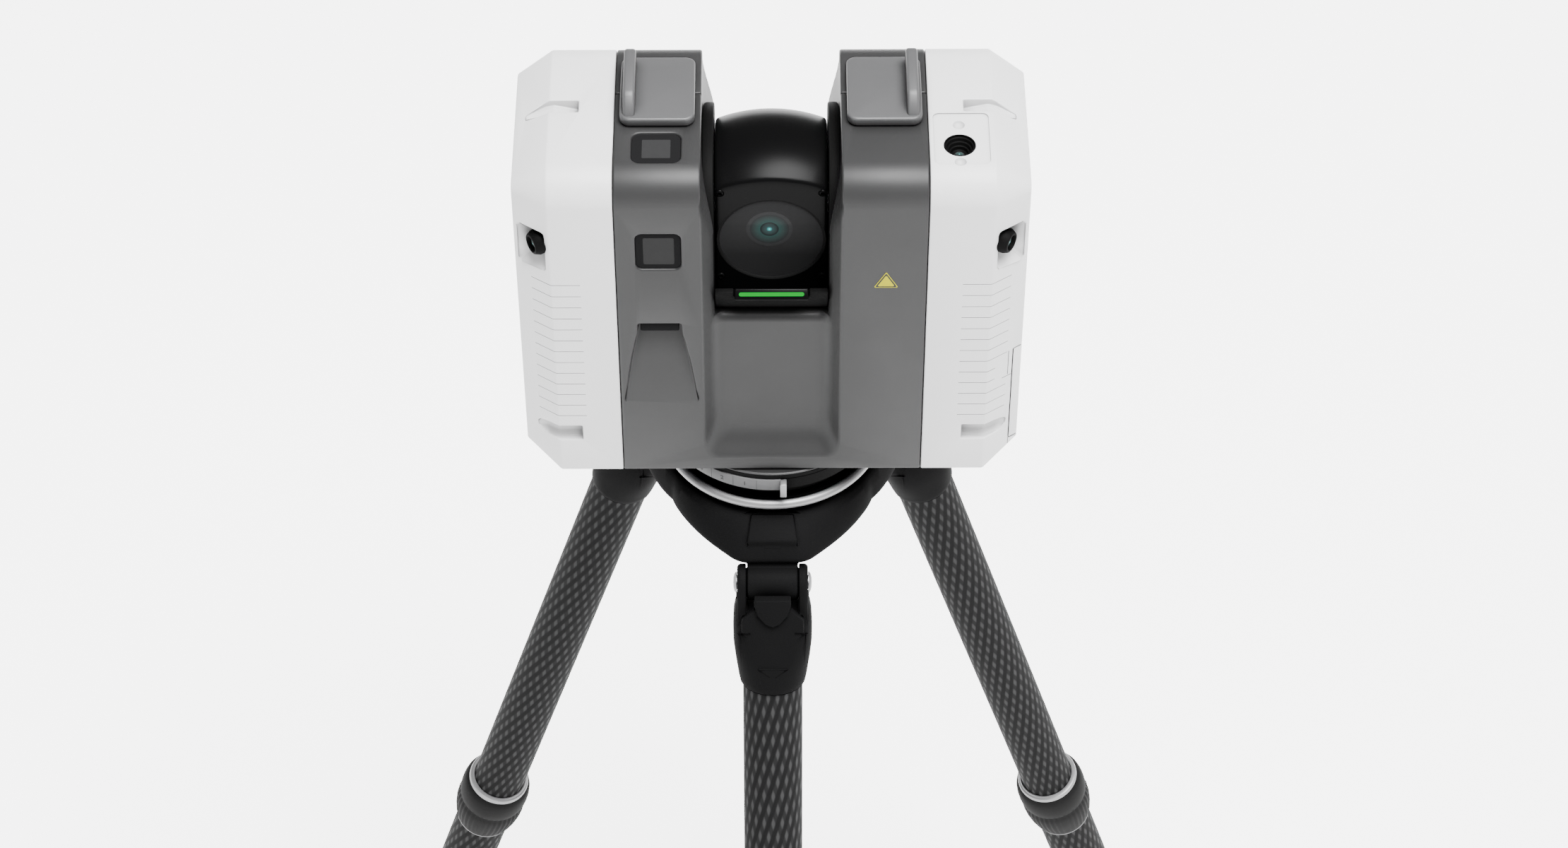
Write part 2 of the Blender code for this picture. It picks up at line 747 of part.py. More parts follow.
def azimuth_drive():
    """Fixed base with its spindle, the bearing on it, and the ring and adapter below."""
    plate_r = 55 * MM
    plate_z = (-4.3 * MM, -0.9 * MM)
    profile = [
        (0, 34 * MM), (SPINDLE_RADIUS, 34 * MM), (SPINDLE_RADIUS, plate_z[1]),
        (plate_r, plate_z[1]), (plate_r, plate_z[0]), (0, plate_z[0]),
    ]
    turned("azimuth_base", profile, black_plastic(), HEAD, steps=36, closed=False)
    ring(
        "azimuth_bearing", SPINDLE_RADIUS + GAP, AZIMUTH_BEARING_RADIUS, (6 * MM, 16 * MM),
        steel(), HEAD,
    )
    ring_top = plate_z[0] - GAP
    scale = ring(
        "lock_ring", 38 * MM, 55.5 * MM, (-12.3 * MM, ring_top), aluminium(), HEAD, steps=36
    )
    tab = box(
        "lock_tab", (3.8 * MM, 7.2 * MM), (-58.5 * MM, -52 * MM), (-16.5 * MM, -6 * MM),
        None, HEAD,
    )
    smooth(join(scale, tab))
    adapter = [
        (0, ring_top), (37.5 * MM, ring_top), (37.5 * MM, -12.6 * MM), (49 * MM, -12.6 * MM),
        (49 * MM, -20.6 * MM), (0, -20.6 * MM),
    ]
    turned("tripod_adapter", adapter, black_plastic(), HEAD, steps=30, closed=False)


# ---- rotor and its cradle -------------------------------------------------------------------
def barrel_radius(x):
    """Radius of the rotor's barrel at a distance x from its middle."""
    drop = ROTOR_RADIUS - ROTOR_END_RADIUS
    curve = (ROTOR_HALF ** 2 + drop ** 2) / (2 * drop)
    return ROTOR_RADIUS - curve + math.sqrt(curve ** 2 - x ** 2)


def barrel(name, inset, finish):
    steps = 6
    half = ROTOR_HALF - inset
    profile = [(0, half)]
    for step in range(steps + 1):
        x = half - 2 * half * step / steps
        profile.append((barrel_radius(x) - inset, x))
    profile.append((0, -half))
    return turned(name, profile, finish, ROTOR, "X", steps=32, closed=False)


def rotor_housing():
    """Barrel-shaped turning housing with a flat window face and a hollow for the mirror."""
    shell = barrel("rotor_housing", 0.0, gloss_black())
    front = box(
        "rotor_flat", (-0.05, 0.05), (-0.1, ROTOR_FLAT_Y), (-0.1, 0.1), None, ROTOR,
        around=(0, 0, 0),
    )
    hollow = barrel("rotor_hollow", ROTOR_WALL, None)
    hollow_front = box(
        "rotor_hollow_flat", (-0.05, 0.05), (-0.1, ROTOR_FLAT_Y + ROTOR_WALL), (-0.1, 0.1), None,
        ROTOR, around=(0, 0, 0),
    )
    cut(hollow, hollow_front)
    window = cylinder(
        "window_hole", WINDOW_RADIUS + GAP, (-60 * MM, -10 * MM), None, ROTOR, "Y", sides=24
    )
    shafts = cylinder(
        "shaft_holes", SHAFT_COLLAR + GAP, (-40 * MM, 40 * MM), None, ROTOR, "X", sides=24
    )
    return smooth(cut(shell, front, hollow, window, shafts))


def rotor_window():
    return cylinder(
        "rotor_window", WINDOW_RADIUS, (ROTOR_FLAT_Y + 0.2 * MM, ROTOR_FLAT_Y + 2 * MM),
        dark_glass(), ROTOR, "Y", sides=24,
    )


def scan_mirror():
    """Round bar cut at 45 degrees: its slanted face sends the beam out of the window."""
    block = cylinder(
        "scan_mirror", 16 * MM, (-15 * MM, 20 * MM), aluminium(), ROTOR, "X", sides=24
    )
    slab = box(
        "mirror_cut", (-0.1, 0), (-0.1, 0.1), (-0.1, 0.1), None, ROTOR,
        (0, 0, math.radians(45)), (0, 0, 0),
    )
    return smooth(cut(block, slab))


def rotor_shaft(name, side):
    """Stub shaft: a collar in the housing's end wall and a journal in the bearing."""
    collar = (ROTOR_HALF - ROTOR_WALL - 3 * MM, 34.5 * MM)
    journal_end = 43.6 * MM
    profile = [
        (0, journal_end), (SHAFT_RADIUS, journal_end), (SHAFT_RADIUS, collar[1]),
        (SHAFT_COLLAR, collar[1]), (SHAFT_COLLAR, collar[0]), (0, collar[0]),
    ]
    if side < 0:
        profile = [(radius, -height) for radius, height in reversed(profile)]
    return turned(name, profile, steel(), ROTOR, "X", steps=24, closed=False)


def rotor_bearing(name, side):
    span = tuple(sorted((side * 35.6 * MM, side * 39.6 * MM)))
    return ring(name, SHAFT_RADIUS + 0.25 * MM, BEARING_RADIUS, span, steel(), ROTOR, "X")


def rotor_motor():
    return ring(
        "rotor_motor", SHAFT_RADIUS + GAP, BEARING_RADIUS, (39.9 * MM, 43.8 * MM), dark_alloy(),
        ROTOR, "X",
    )


def encoder_disc():
    return ring(
        "encoder_disc", SHAFT_RADIUS + 0.05 * MM, 13.6 * MM, (-42 * MM, -40.6 * MM), dark_glass(),
        ROTOR, "X",
    )


def rotor_cradle():
    """Black trough under the rotor, with a seat for the light bar in its front lip."""
    lip_drop = 12.5 * MM
    steps = 18
    outer = math.degrees(math.asin(lip_drop / CRADLE_OUTER))
    inner = math.degrees(math.asin(lip_drop / CRADLE_INNER))
    outline = arc((0, 0), CRADLE_OUTER, 180 + outer, 360 - outer, steps)
    outline += arc((0, 0), CRADLE_INNER, 360 - inner, 180 + inner, steps)
    trough = prism(
        "rotor_cradle", outline, (-CRADLE_HALF, CRADLE_HALF), "YZ", black_plastic(), ROTOR
    )
    return smooth(cut(trough, light_bar_box("light_bar_seat", GAP, None)))


def light_bar_box(name, grow, finish):
    spans = [(-half - grow, half + grow) for half in LIGHT_BAR_HALF]
    made = box(name, *spans, finish, ROTOR, (LIGHT_BAR_TILT, 0, 0), (0, 0, 0))
    made.location = LIGHT_BAR_AT
    return made


def light_bar():
    return light_bar_box("light_bar", 0.0, green_light())


# ---- tripod head ----------------------------------------------------------------------------
def tripod_platform():
    """Dished top plate with a bright rim."""
    rim = 56 * MM
    profile = [
        (0, -20.9 * MM), (44 * MM, -20.9 * MM), (45 * MM, -25 * MM), (50.5 * MM, -25 * MM),
        (52 * MM, -21.4 * MM), (54.5 * MM, -21.4 * MM), (rim, -23.5 * MM),
        (rim, -26.5 * MM), (30 * MM, -31 * MM), (6.5 * MM, -31 * MM),
        (6.5 * MM, -24 * MM), (0, -24 * MM),
    ]
    return turned("tripod_platform", profile, aluminium(), HEAD, steps=36, closed=False)


def shoulder_outline():
    """Three blunt arms joined by shallow hollows, seen from above."""
    arm_half = 16.4 * MM
    arm_end = 76 * MM
    hollow_r = 60.5 * MM
    outline = []
    for turn in LEG_TURNS.values():
        spin = Matrix.Rotation(turn, 2)
        points = [
            (-33 * MM, -56 * MM), (-24 * MM, -67 * MM), (-arm_half, -arm_end),
            (arm_half, -arm_end), (24 * MM, -67 * MM), (33 * MM, -56 * MM),
            (hollow_r * math.sin(math.radians(60)), -hollow_r * math.cos(math.radians(60))),
        ]
        outline += [tuple(spin @ Vector(point)) for point in points]
    return outline


def arm_outline():
    """Side view of one arm under the crown, ending in the hinge barrel."""
    barrel_end = arc((-HINGE_RADIUS, HINGE_Z), 9 * MM, 270, 90, 10)
    return [(-20 * MM, -40 * MM), (-20 * MM, HINGE_Z - 7.5 * MM)] + barrel_end + [
        (-62 * MM, -40 * MM)
    ]


def tripod_shoulder():
    """Crown casting: a broad plate, a hub and three arms that end in hinge barrels."""
    crown = prism(
        "tripod_shoulder", shoulder_outline_in_order(), (-47.6 * MM, -34 * MM), "XY",
        dark_alloy(), HEAD,
    )
    round_edges(crown, 4 * MM, 1, 50)
    hub = cylinder("shoulder_hub", 28 * MM, (-63 * MM, -31.3 * MM), None, HEAD, sides=24)
    join(crown, hub)
    for name, turn in LEG_TURNS.items():
        arm = prism(
            "arm_" + name, arm_outline(), (-ARM_HALF, ARM_HALF), "YZ", None, HEAD,
            rotation=(0, 0, turn),
        )
        barrel_at = (HINGE_RADIUS * math.sin(turn), -HINGE_RADIUS * math.cos(turn), HINGE_Z)
        bore = cylinder("bore_" + name, 3.8 * MM, (-0.03, 0.03), None, HEAD, "X", barrel_at, 16)
        bore.rotation_euler = (0, math.pi / 2, turn)
        pocket = box(
            "pocket_" + name, (-9 * MM, 9 * MM), (-72 * MM, -62 * MM), (-38 * MM, -30 * MM),
            None, HEAD, (0, 0, turn), (0, 0, 0),
        )
        join(crown, arm)
        cut(crown, bore, pocket)
    screw_bore = cylinder("screw_bore", 8 * MM, (-0.1, 0), None, HEAD, sides=24)
    return smooth(cut(crown, screw_bore))


def shoulder_outline_in_order():
    """The outline's points sorted round the axis, so that each arm follows its neighbour."""
    return sorted(shoulder_outline(), key=lambda point: math.atan2(point[1], point[0]))


def clamp_knob():
    """Central clamping screw with its knob under the shoulder."""
    profile = [
        (0, -24.4 * MM), (6 * MM, -24.4 * MM), (6 * MM, -68 * MM), (16 * MM, -69 * MM),
        (21 * MM, -74 * MM), (21 * MM, -84 * MM), (15 * MM, -89 * MM), (0, -89 * MM),
    ]
    return turned("clamp_knob", profile, rubber(), HEAD, steps=24, closed=False)


# ---- legs: local -Z runs down the leg, local X is the hinge axis ------------------------------
def leg_bracket(name, frame):
    """Clevis at the leg's top: two ears and a sleeve that holds the upper tube."""
    sleeve = cylinder(
        name, SLEEVE_RADIUS, (-BRACKET_RIM, -14 * MM), dark_alloy(), frame, sides=24
    )
    ear_r = 9.4 * MM
    outline = arc((0, 0), ear_r, 0, 180, 10) + [(-ear_r, -30 * MM), (ear_r, -30 * MM)]
    for side in (-1, 1):
        span = tuple(sorted((side * EAR_INNER, side * EAR_OUTER)))
        join(sleeve, prism("ear", outline, span, "YZ", None, frame))
    gap = box(
        "ear_gap", (-EAR_INNER, EAR_INNER), (-0.03, 0.03), (-13.9 * MM, 0.03), None, frame
    )
    cut(
        sleeve,
        gap,
        cylinder("tube_socket", UPPER_RADIUS + GAP, (-0.1, -20 * MM), None, frame, sides=24),
        cylinder("ear_bore", 3.8 * MM, (-0.03, 0.03), None, frame, "X", sides=16),
    )
    return smooth(sleeve)


def hinge_bolt(name, frame):
    end = EAR_OUTER + GAP
    head = end + BOLT_HEAD
    shank_r = 3.5 * MM
    head_r = 5.2 * MM
    half = [(0, head), (head_r, head), (head_r, end), (shank_r, end)]
    profile = half + [(radius, -height) for radius, height in reversed(half)]
    return turned(name, profile, steel(), frame, "X", steps=16, closed=False)


def upper_tube(name, frame):
    return ring(
        name, UPPER_RADIUS - 1.8 * MM, UPPER_RADIUS, (-480 * MM, -20.4 * MM), carbon(), frame,
        steps=20,
    )


def twist_lock(name, frame):
    """Rubber twist collar with a bright ring, over the top of the lower tube."""
    neck = UPPER_RADIUS + GAP
    seat = LOWER_RADIUS + GAP
    step = COLLAR_TOP + 20 * MM
    profile = [
        (17.6 * MM, -COLLAR_TOP), (19.6 * MM, -COLLAR_TOP - 5 * MM),
        (20.3 * MM, -COLLAR_TOP - 15 * MM), (20.2 * MM, -COLLAR_TOP - 29 * MM),
        (18.6 * MM, -COLLAR_TOP - 41 * MM), (16.6 * MM, -COLLAR_END), (seat, -COLLAR_END),
        (seat, -step), (neck, -step), (neck, -COLLAR_TOP),
    ]
    return turned(name, profile, rubber(), frame, steps=20)


def lower_tube(name, frame):
    top = COLLAR_TOP + 20.6 * MM
    end = LEG_LENGTH - 34 * MM
    return ring(name, LOWER_BORE, LOWER_RADIUS, (-end, -top), carbon(), frame, steps=20)


def leg_foot(name, frame):
    """Rubber foot with a plug in the tube, cut level where it stands on the floor."""
    top = LEG_LENGTH - 34 * MM
    plug = LEG_LENGTH - 60 * MM
    profile = [
        (0, -plug), (LOWER_BORE - GAP, -plug), (LOWER_BORE - GAP, -top - GAP),
        (17.5 * MM, -top - GAP), (18.5 * MM, -top - 8 * MM), (15 * MM, -top - 22 * MM),
        (13 * MM, -LEG_LENGTH - 8 * MM), (0, -LEG_LENGTH - 8 * MM),
    ]
    foot = turned(name, profile, rubber(), frame, steps=20, closed=False)
    floor = box(
        "floor_cut", (-0.5, 0.5), (-0.5, 0.5), (-BODY_Z - 0.1, -BODY_Z), None, HEAD
    )
    return smooth(cut(foot, floor))


def make_leg(name):
    frame = LEGS[name]
    leg_bracket("leg_bracket_" + name, frame)
    hinge_bolt("hinge_bolt_" + name, frame)
    upper_tube("upper_tube_" + name, frame)
    twist_lock("twist_lock_" + name, frame)
    lower_tube("lower_tube_" + name, frame)
    leg_foot("foot_" + name, frame)


# ---- assembly -------------------------------------------------------------------------------
def make_scanner():
    front_cover()
    rear_cover()
    chassis()
    for name, side in SIDES.items():
        cover = side_cover(name + "_side_cover", side)
        if side > 0:
            cut(cover, door_port_opening())
        battery_cap(name + "_battery_cap", side)
        battery(name + "_battery", side)
        rotor_shaft("rotor_shaft_" + name, side)
        rotor_bearing("rotor_bearing_" + name, side)
        for word, front in {"front": -1, "rear": 1}.items():
            corner_camera("corner_camera_" + word + "_" + name, side, front)
    hdr_cameras()
    sky_camera()
    touchscreen()
    power_button()
    side_door()
    door_port()
    laser_module()
    main_board()
    azimuth_drive()
    rotor_housing()
    rotor_window()
    scan_mirror()
    rotor_motor()
    encoder_disc()
    rotor_cradle()
    light_bar()


def make_tripod():
    tripod_platform()
    tripod_shoulder()
    clamp_knob()
    for name in LEGS:
        make_leg(name)


make_scanner()
make_tripod()
bpy.context.view_layer.update()
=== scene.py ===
"""Looks of the laser scanner and its tripod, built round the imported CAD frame.

Every place comes from the frame: the head's origin from the side cover's box, the rotor's from
its joint, and each leg's axes from its fold and slide joints.  Lengths are in metres.
"""

import json
import math

import bmesh
import bpy
from mathutils import Matrix, Vector


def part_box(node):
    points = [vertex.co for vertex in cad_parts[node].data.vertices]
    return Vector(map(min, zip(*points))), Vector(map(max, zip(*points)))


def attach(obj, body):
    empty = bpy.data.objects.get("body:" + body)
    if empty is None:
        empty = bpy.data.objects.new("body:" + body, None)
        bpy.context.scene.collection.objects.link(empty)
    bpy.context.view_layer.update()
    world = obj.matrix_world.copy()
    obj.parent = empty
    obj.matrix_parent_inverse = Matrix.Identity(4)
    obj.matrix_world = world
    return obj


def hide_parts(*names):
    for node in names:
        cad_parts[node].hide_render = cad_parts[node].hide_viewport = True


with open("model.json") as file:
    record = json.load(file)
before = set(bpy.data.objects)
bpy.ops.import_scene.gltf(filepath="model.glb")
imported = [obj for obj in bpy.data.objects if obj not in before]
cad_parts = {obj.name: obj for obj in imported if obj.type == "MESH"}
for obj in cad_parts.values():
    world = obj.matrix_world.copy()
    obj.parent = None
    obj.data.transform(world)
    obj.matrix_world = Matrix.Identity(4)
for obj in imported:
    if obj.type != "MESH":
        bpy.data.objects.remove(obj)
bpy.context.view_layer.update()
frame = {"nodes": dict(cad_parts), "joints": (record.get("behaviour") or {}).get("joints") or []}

MM = 0.001
TAU = 2 * math.pi


def mm(*sizes):
    """Sizes given in millimetres, or tables of them, in metres."""
    return [mm(*size) if isinstance(size, (tuple, list)) else size * MM for size in sizes]


# ---- places read from the frame --------------------------
JOINTS = {joint["name"]: joint for joint in frame["joints"]}
COVER_LOW, COVER_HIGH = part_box("left_side_cover")
HEAD_AT = Vector((0, (COVER_LOW.y + COVER_HIGH.y) / 2, COVER_LOW.z))
HALF_X = -COVER_LOW.x
HALF_Y = (COVER_HIGH.y - COVER_LOW.y) / 2
TOP = COVER_HIGH.z - COVER_LOW.z
ROTOR_AT = Vector(JOINTS["rotor_spin"]["pos_m"])
ROTOR_Z = ROTOR_AT.z - HEAD_AT.z
HEAD = Matrix.Translation(HEAD_AT)
ROTOR = Matrix.Translation(ROTOR_AT)
SIDES = {"left": -1, "right": 1}
LEGS = ("front", "right", "left")

# ---- casing sizes, as in the CAD -------------------------
SEAM_X = -COVER_LOW.x - (COVER_HIGH.x - COVER_LOW.x)
EDGE_R = 16 * MM
FACET_X = 16.7 * MM
FACET_YZ = 11.3 * MM
FACET_LEAN = math.atan2(FACET_YZ, FACET_X)
THROAT_TOP_X = 32.5 * MM
THROAT_LOW_X = 27 * MM
THROAT_EDGE_X = 32.8 * MM
THROAT_BEND = mm(150, 178)
THROAT_FLOOR = 98 * MM
THROAT_INSET = 44 * MM
POCKET_FOOT = 9 * MM
PANEL_TOP = 98 * MM
PANEL_ROUND = 4.8 * MM
SPLIT_Y = 11 * MM
GRIP_START = 89.6 * MM
KNEE = HALF_X - FACET_X
ABOVE = TOP + 9 * MM
CORNER_CAMERA_Z = 146 * MM
LINE_COUNT = 13
LINE_Z = mm(38.3, 126.2)


def mirrored(side, first, second):
    """The span between two sizes on one side, its low end first."""
    return tuple(sorted((side * first, side * second)))


def node_box(name):
    """A node's box, low and high, in the head's own frame."""
    low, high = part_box(name)
    return low - HEAD_AT, high - HEAD_AT


# ---- mesh tools ------------------------------------------
def as_object(name, bm):
    mesh = bpy.data.meshes.new(name)
    bmesh.ops.recalc_face_normals(bm, faces=bm.faces)
    bm.to_mesh(mesh)
    bm.free()
    made = bpy.data.objects.new(name, mesh)
    bpy.context.scene.collection.objects.link(made)
    return made


def box_mesh(x, y, z):
    bm = bmesh.new()
    bmesh.ops.create_cube(bm, size=1.0)
    low = Vector((x[0], y[0], z[0]))
    high = Vector((x[1], y[1], z[1]))
    bmesh.ops.scale(bm, vec=high - low, verts=bm.verts)
    bmesh.ops.translate(bm, vec=(low + high) / 2, verts=bm.verts)
    return bm


def loft_mesh(rings, closed=True):
    """A skin through rings of equal counts, with its two ends filled."""
    bm = bmesh.new()
    loops = [[bm.verts.new(point) for point in ring] for ring in rings]
    count = len(rings[0])
    for near, far in zip(loops, loops[1:]):
        for index in range(count):
            after = (index + 1) % count
            bm.faces.new((near[index], near[after], far[after], far[index]))
    if closed:
        bm.faces.new(loops[0])
        bm.faces.new(loops[-1])
    return bm


def prism_mesh(outline, span, plane="XY"):
    order = {"XY": (0, 1, 2), "XZ": (0, 2, 1), "YZ": (1, 2, 0)}[plane]
    rings = []
    for level in span:
        ring = []
        for first, second in outline:
            spot = [0.0, 0.0, 0.0]
            spot[order[0]] = first
            spot[order[1]] = second
            spot[order[2]] = level
            ring.append(spot)
        rings.append(ring)
    return loft_mesh(rings)


def turned_mesh(profile, steps=96, wave=None):
    """A profile of (radius, height) turned about Z, from one end on the axis to the other.

    wave(angle, radius, height) may change the radius, for knurls and scallops.
    """
    bm = bmesh.new()
    rows = []
    for radius, height in profile:
        if radius <= 0:
            rows.append([bm.verts.new((0, 0, height))])
            continue
        row = []
        for step in range(steps):
            angle = TAU * step / steps
            reach = wave(angle, radius, height) if wave else radius
            row.append(bm.verts.new((reach * math.cos(angle), reach * math.sin(angle), height)))
        rows.append(row)
    pairs = list(zip(rows, rows[1:]))
    if profile[0][0] > 0:
        pairs.append((rows[-1], rows[0]))
    for near, far in pairs:
        for step in range(steps):
            after = (step + 1) % steps
            if len(near) == 1:
                bm.faces.new((near[0], far[step], far[after]))
            elif len(far) == 1:
                bm.faces.new((near[step], near[after], far[0]))
            else:
                bm.faces.new((near[step], near[after], far[after], far[step]))
    return bm


def moved(bm, matrix):
    bmesh.ops.transform(bm, matrix=matrix, verts=bm.verts)
    return bm


def along(axis, at=(0, 0, 0)):
    """Turns a Z-axis shape to lie along X or Y, at a point."""
    turn = {
        "X": Matrix.Rotation(math.pi / 2, 4, "Y"),
        "Y": Matrix.Rotation(-math.pi / 2, 4, "X"),
        "Z": Matrix.Identity(4),
    }[axis]
    return Matrix.Translation(at) @ turn


def disc_mesh(radius, span, steps=64):
    return turned_mesh([(0, span[1]), (radius, span[1]), (radius, span[0]), (0, span[0])], steps)


def arc(centre, radius, start, end, count):
    """Points along a part of a circle between two angles, in degrees."""
    made = []
    for step in range(count + 1):
        angle = math.radians(start + (end - start) * step / count)
        made.append((centre[0] + radius * math.cos(angle), centre[1] + radius * math.sin(angle)))
    return made


def round_rect(x, y, radius, steps=8):
    """A rectangle's outline with round corners, as points in a plane."""
    corners = (
        ((x[1] - radius, y[1] - radius), 0), ((x[0] + radius, y[1] - radius), 90),
        ((x[0] + radius, y[0] + radius), 180), ((x[1] - radius, y[0] + radius), 270),
    )
    made = []
    for centre, start in corners:
        made += arc(centre, radius, start, start + 90, steps)
    return made


def baked(made):
    """Applies an object's modifiers."""
    graph = bpy.context.evaluated_depsgraph_get()
    mesh = bpy.data.meshes.new_from_object(made.evaluated_get(graph))
    made.modifiers.clear()
    made.data = mesh
    return made


def boolean(made, tools, operation):
    """Cuts or joins closed bmeshes with an object, one after the other."""
    helpers = []
    for tool in tools:
        helper = as_object("tool", tool)
        helpers.append(helper)
        step = made.modifiers.new("step", "BOOLEAN")
        step.operation = operation
        step.solver = "EXACT"
        step.object = helper
    baked(made)
    for helper in helpers:
        bpy.data.objects.remove(helper)
    return made


def cut(made, *tools):
    return boolean(made, tools, "DIFFERENCE")


def join(made, *tools):
    return boolean(made, tools, "UNION")


def rounded(made, width, segments=3, angle=28):
    """Rounds an object's edges that are sharper than an angle, in degrees."""
    bevel = made.modifiers.new("round", "BEVEL")
    bevel.width = width
    bevel.segments = segments
    bevel.limit_method = "ANGLE"
    bevel.angle_limit = math.radians(angle)
    bevel.use_clamp_overlap = False
    bevel.miter_outer = "MITER_ARC"
    return baked(made)


def merged(made, others):
    """Adds other objects' meshes to an object, as separate shells."""
    bm = bmesh.new()
    bm.from_mesh(made.data)
    for other in others:
        bm.from_mesh(other.data)
        bpy.data.objects.remove(other)
    bm.to_mesh(made.data)
    bm.free()
    return made


def settle(made, matrix, body, finish, replaces=(), sharp=32):
    """Places a finished piece: where it is, what it rides on, and what it stands for."""
    made.data.transform(matrix)
    made.data.materials.clear()
    made.data.materials.append(finish)
    made.data.shade_smooth()
    made.data.set_sharp_from_angle(angle=math.radians(sharp))
    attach(made, body)
    if replaces:
        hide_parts(*replaces)
    return made


def turned(name, profile, steps, body, finish, replaces=(), matrix=HEAD, wave=None):
    """A turned part, placed and finished."""
    settle(as_object(name, turned_mesh(profile, steps, wave)), matrix, body, finish, replaces)


# ---- materials -------------------------------------------
class Nodes:
    """A material being built: adds nodes and joins them to the shader."""

    def __init__(self, name):
        self.material = bpy.data.materials.new(name)
        self.material.use_nodes = True
        self.tree = self.material.node_tree
        self.shader = self.tree.nodes["Principled BSDF"]
        self.place = self.node("ShaderNodeTexCoord").outputs["Object"]

    def node(self, kind, **settings):
        made = self.tree.nodes.new(kind)
        for key, value in settings.items():
            setattr(made, key, value)
        return made

    def link(self, source, target):
        self.tree.links.new(source, target)

    def set(self, **values):
        for key, value in values.items():
            self.shader.inputs[key.replace("_", " ")].default_value = value

    def noise(self, scale, detail=3.0, stretch=(1, 1, 1), rough=0.5):
        mapping = self.node("ShaderNodeMapping")
        mapping.inputs["Scale"].default_value = stretch
        self.link(self.place, mapping.inputs["Vector"])
        noise = self.node("ShaderNodeTexNoise")
        noise.inputs["Scale"].default_value = scale
        noise.inputs["Detail"].default_value = detail
        noise.inputs["Roughness"].default_value = rough
        self.link(mapping.outputs["Vector"], noise.inputs["Vector"])
        return noise.outputs["Fac"]

    def blend(self, share, low, high):
        """A colour between low and high by a share, which is clamped."""
        ramp = self.node("ShaderNodeValToRGB")
        ramp.color_ramp.elements[0].color = (*low, 1)
        ramp.color_ramp.elements[1].color = (*high, 1)
        self.link(share, ramp.inputs["Fac"])
        return ramp.outputs["Color"]

    def creased(self, colour, dark, reach=0.006):
        """A colour darkened by painted shade where other surfaces are near, as in a groove."""
        near = self.node("ShaderNodeAmbientOcclusion", samples=6)
        near.inputs["Distance"].default_value = reach
        mix = self.node("ShaderNodeMix", data_type="RGBA")
        self.link(self.spread(near.outputs["AO"], 0, 1, 0.35, 0.95), mix.inputs[0])
        mix.inputs[6].default_value = (*dark, 1)
        self.link(colour, mix.inputs[7])
        return mix.outputs[2]

    def spread(self, share, low, high, from_low=0.0, from_high=1.0):
        ranged = self.node("ShaderNodeMapRange")
        ranged.inputs["From Min"].default_value = from_low
        ranged.inputs["From Max"].default_value = from_high
        ranged.inputs["To Min"].default_value = low
        ranged.inputs["To Max"].default_value = high
        self.link(share, ranged.inputs["Value"])
        return ranged.outputs["Result"]

    def math(self, operation, first, second=None):
        step = self.node("ShaderNodeMath", operation=operation)
        for slot, value in zip(step.inputs, (first, second)):
            if value is None:
                continue
            if isinstance(value, (int, float)):
                slot.default_value = value
            else:
                self.link(value, slot)
        return step.outputs["Value"]

    def bump(self, height, strength, distance=0.0002):
        bump = self.node("ShaderNodeBump")
        bump.inputs["Strength"].default_value = strength
        bump.inputs["Distance"].default_value = distance
        self.link(height, bump.inputs["Height"])
        self.link(bump.outputs["Normal"], self.shader.inputs["Normal"])

    def grain(self, scale, strength, distance=0.0001):
        """Moulded or painted surface grain."""
        self.bump(self.noise(scale, 2.0), strength, distance)

    def color(self, source):
        self.link(source, self.shader.inputs["Base Color"])

    def roughness(self, source):
        self.link(source, self.shader.inputs["Roughness"])


def moulded(name, low, high, rough, grain_scale, grain, **settings):
    """Plastic or paint: a slow colour drift, painted shade in creases, uneven gloss and a fine grain."""
    nodes = Nodes(name)
    drift = nodes.noise(14, 4.0)
    # painted shade: ambient occlusion darkens the colour in creases and recesses
    nodes.color(nodes.creased(nodes.blend(drift, low, high), [0.45 * part for part in low]))
    nodes.roughness(nodes.spread(nodes.noise(60, 5.0), rough - 0.05, rough + 0.06))
    nodes.grain(grain_scale, grain)
    nodes.set(**settings)
    return nodes.material


def housing_finish():
    """Gloss black housing with faint wipe marks in its gloss."""
    nodes = Nodes("gloss_black")
    nodes.color(nodes.blend(nodes.noise(9), (0.001, 0.001, 0.001), (0.0016, 0.0016, 0.0017)))
    wipes = nodes.noise(24, 5.0, (1, 3, 1), 0.5)
    nodes.roughness(nodes.spread(wipes, 0.27, 0.33))
    nodes.set(Specular_IOR_Level=0.035)
    return nodes.material


def glass_finish(name, low, high):
    """Dark coated cover glass."""
    nodes = Nodes(name)
    nodes.color(nodes.blend(nodes.noise(6), low, high))
    nodes.roughness(nodes.spread(nodes.noise(45, 5.0), 0.05, 0.12))
    nodes.set(Specular_IOR_Level=0.004)
    return nodes.material


def metal_finish(name, low, high, rough, stretch=(1, 1, 30)):
    """Metal with turning marks in its gloss and its height."""
    nodes = Nodes(name)
    marks = nodes.noise(120, 4.0, stretch, 0.6)
    nodes.color(nodes.blend(marks, low, high))
    nodes.roughness(nodes.spread(marks, rough - 0.07, rough + 0.09))
    nodes.bump(marks, 0.12, 0.00005)
    nodes.set(Metallic=1.0)
    return nodes.material


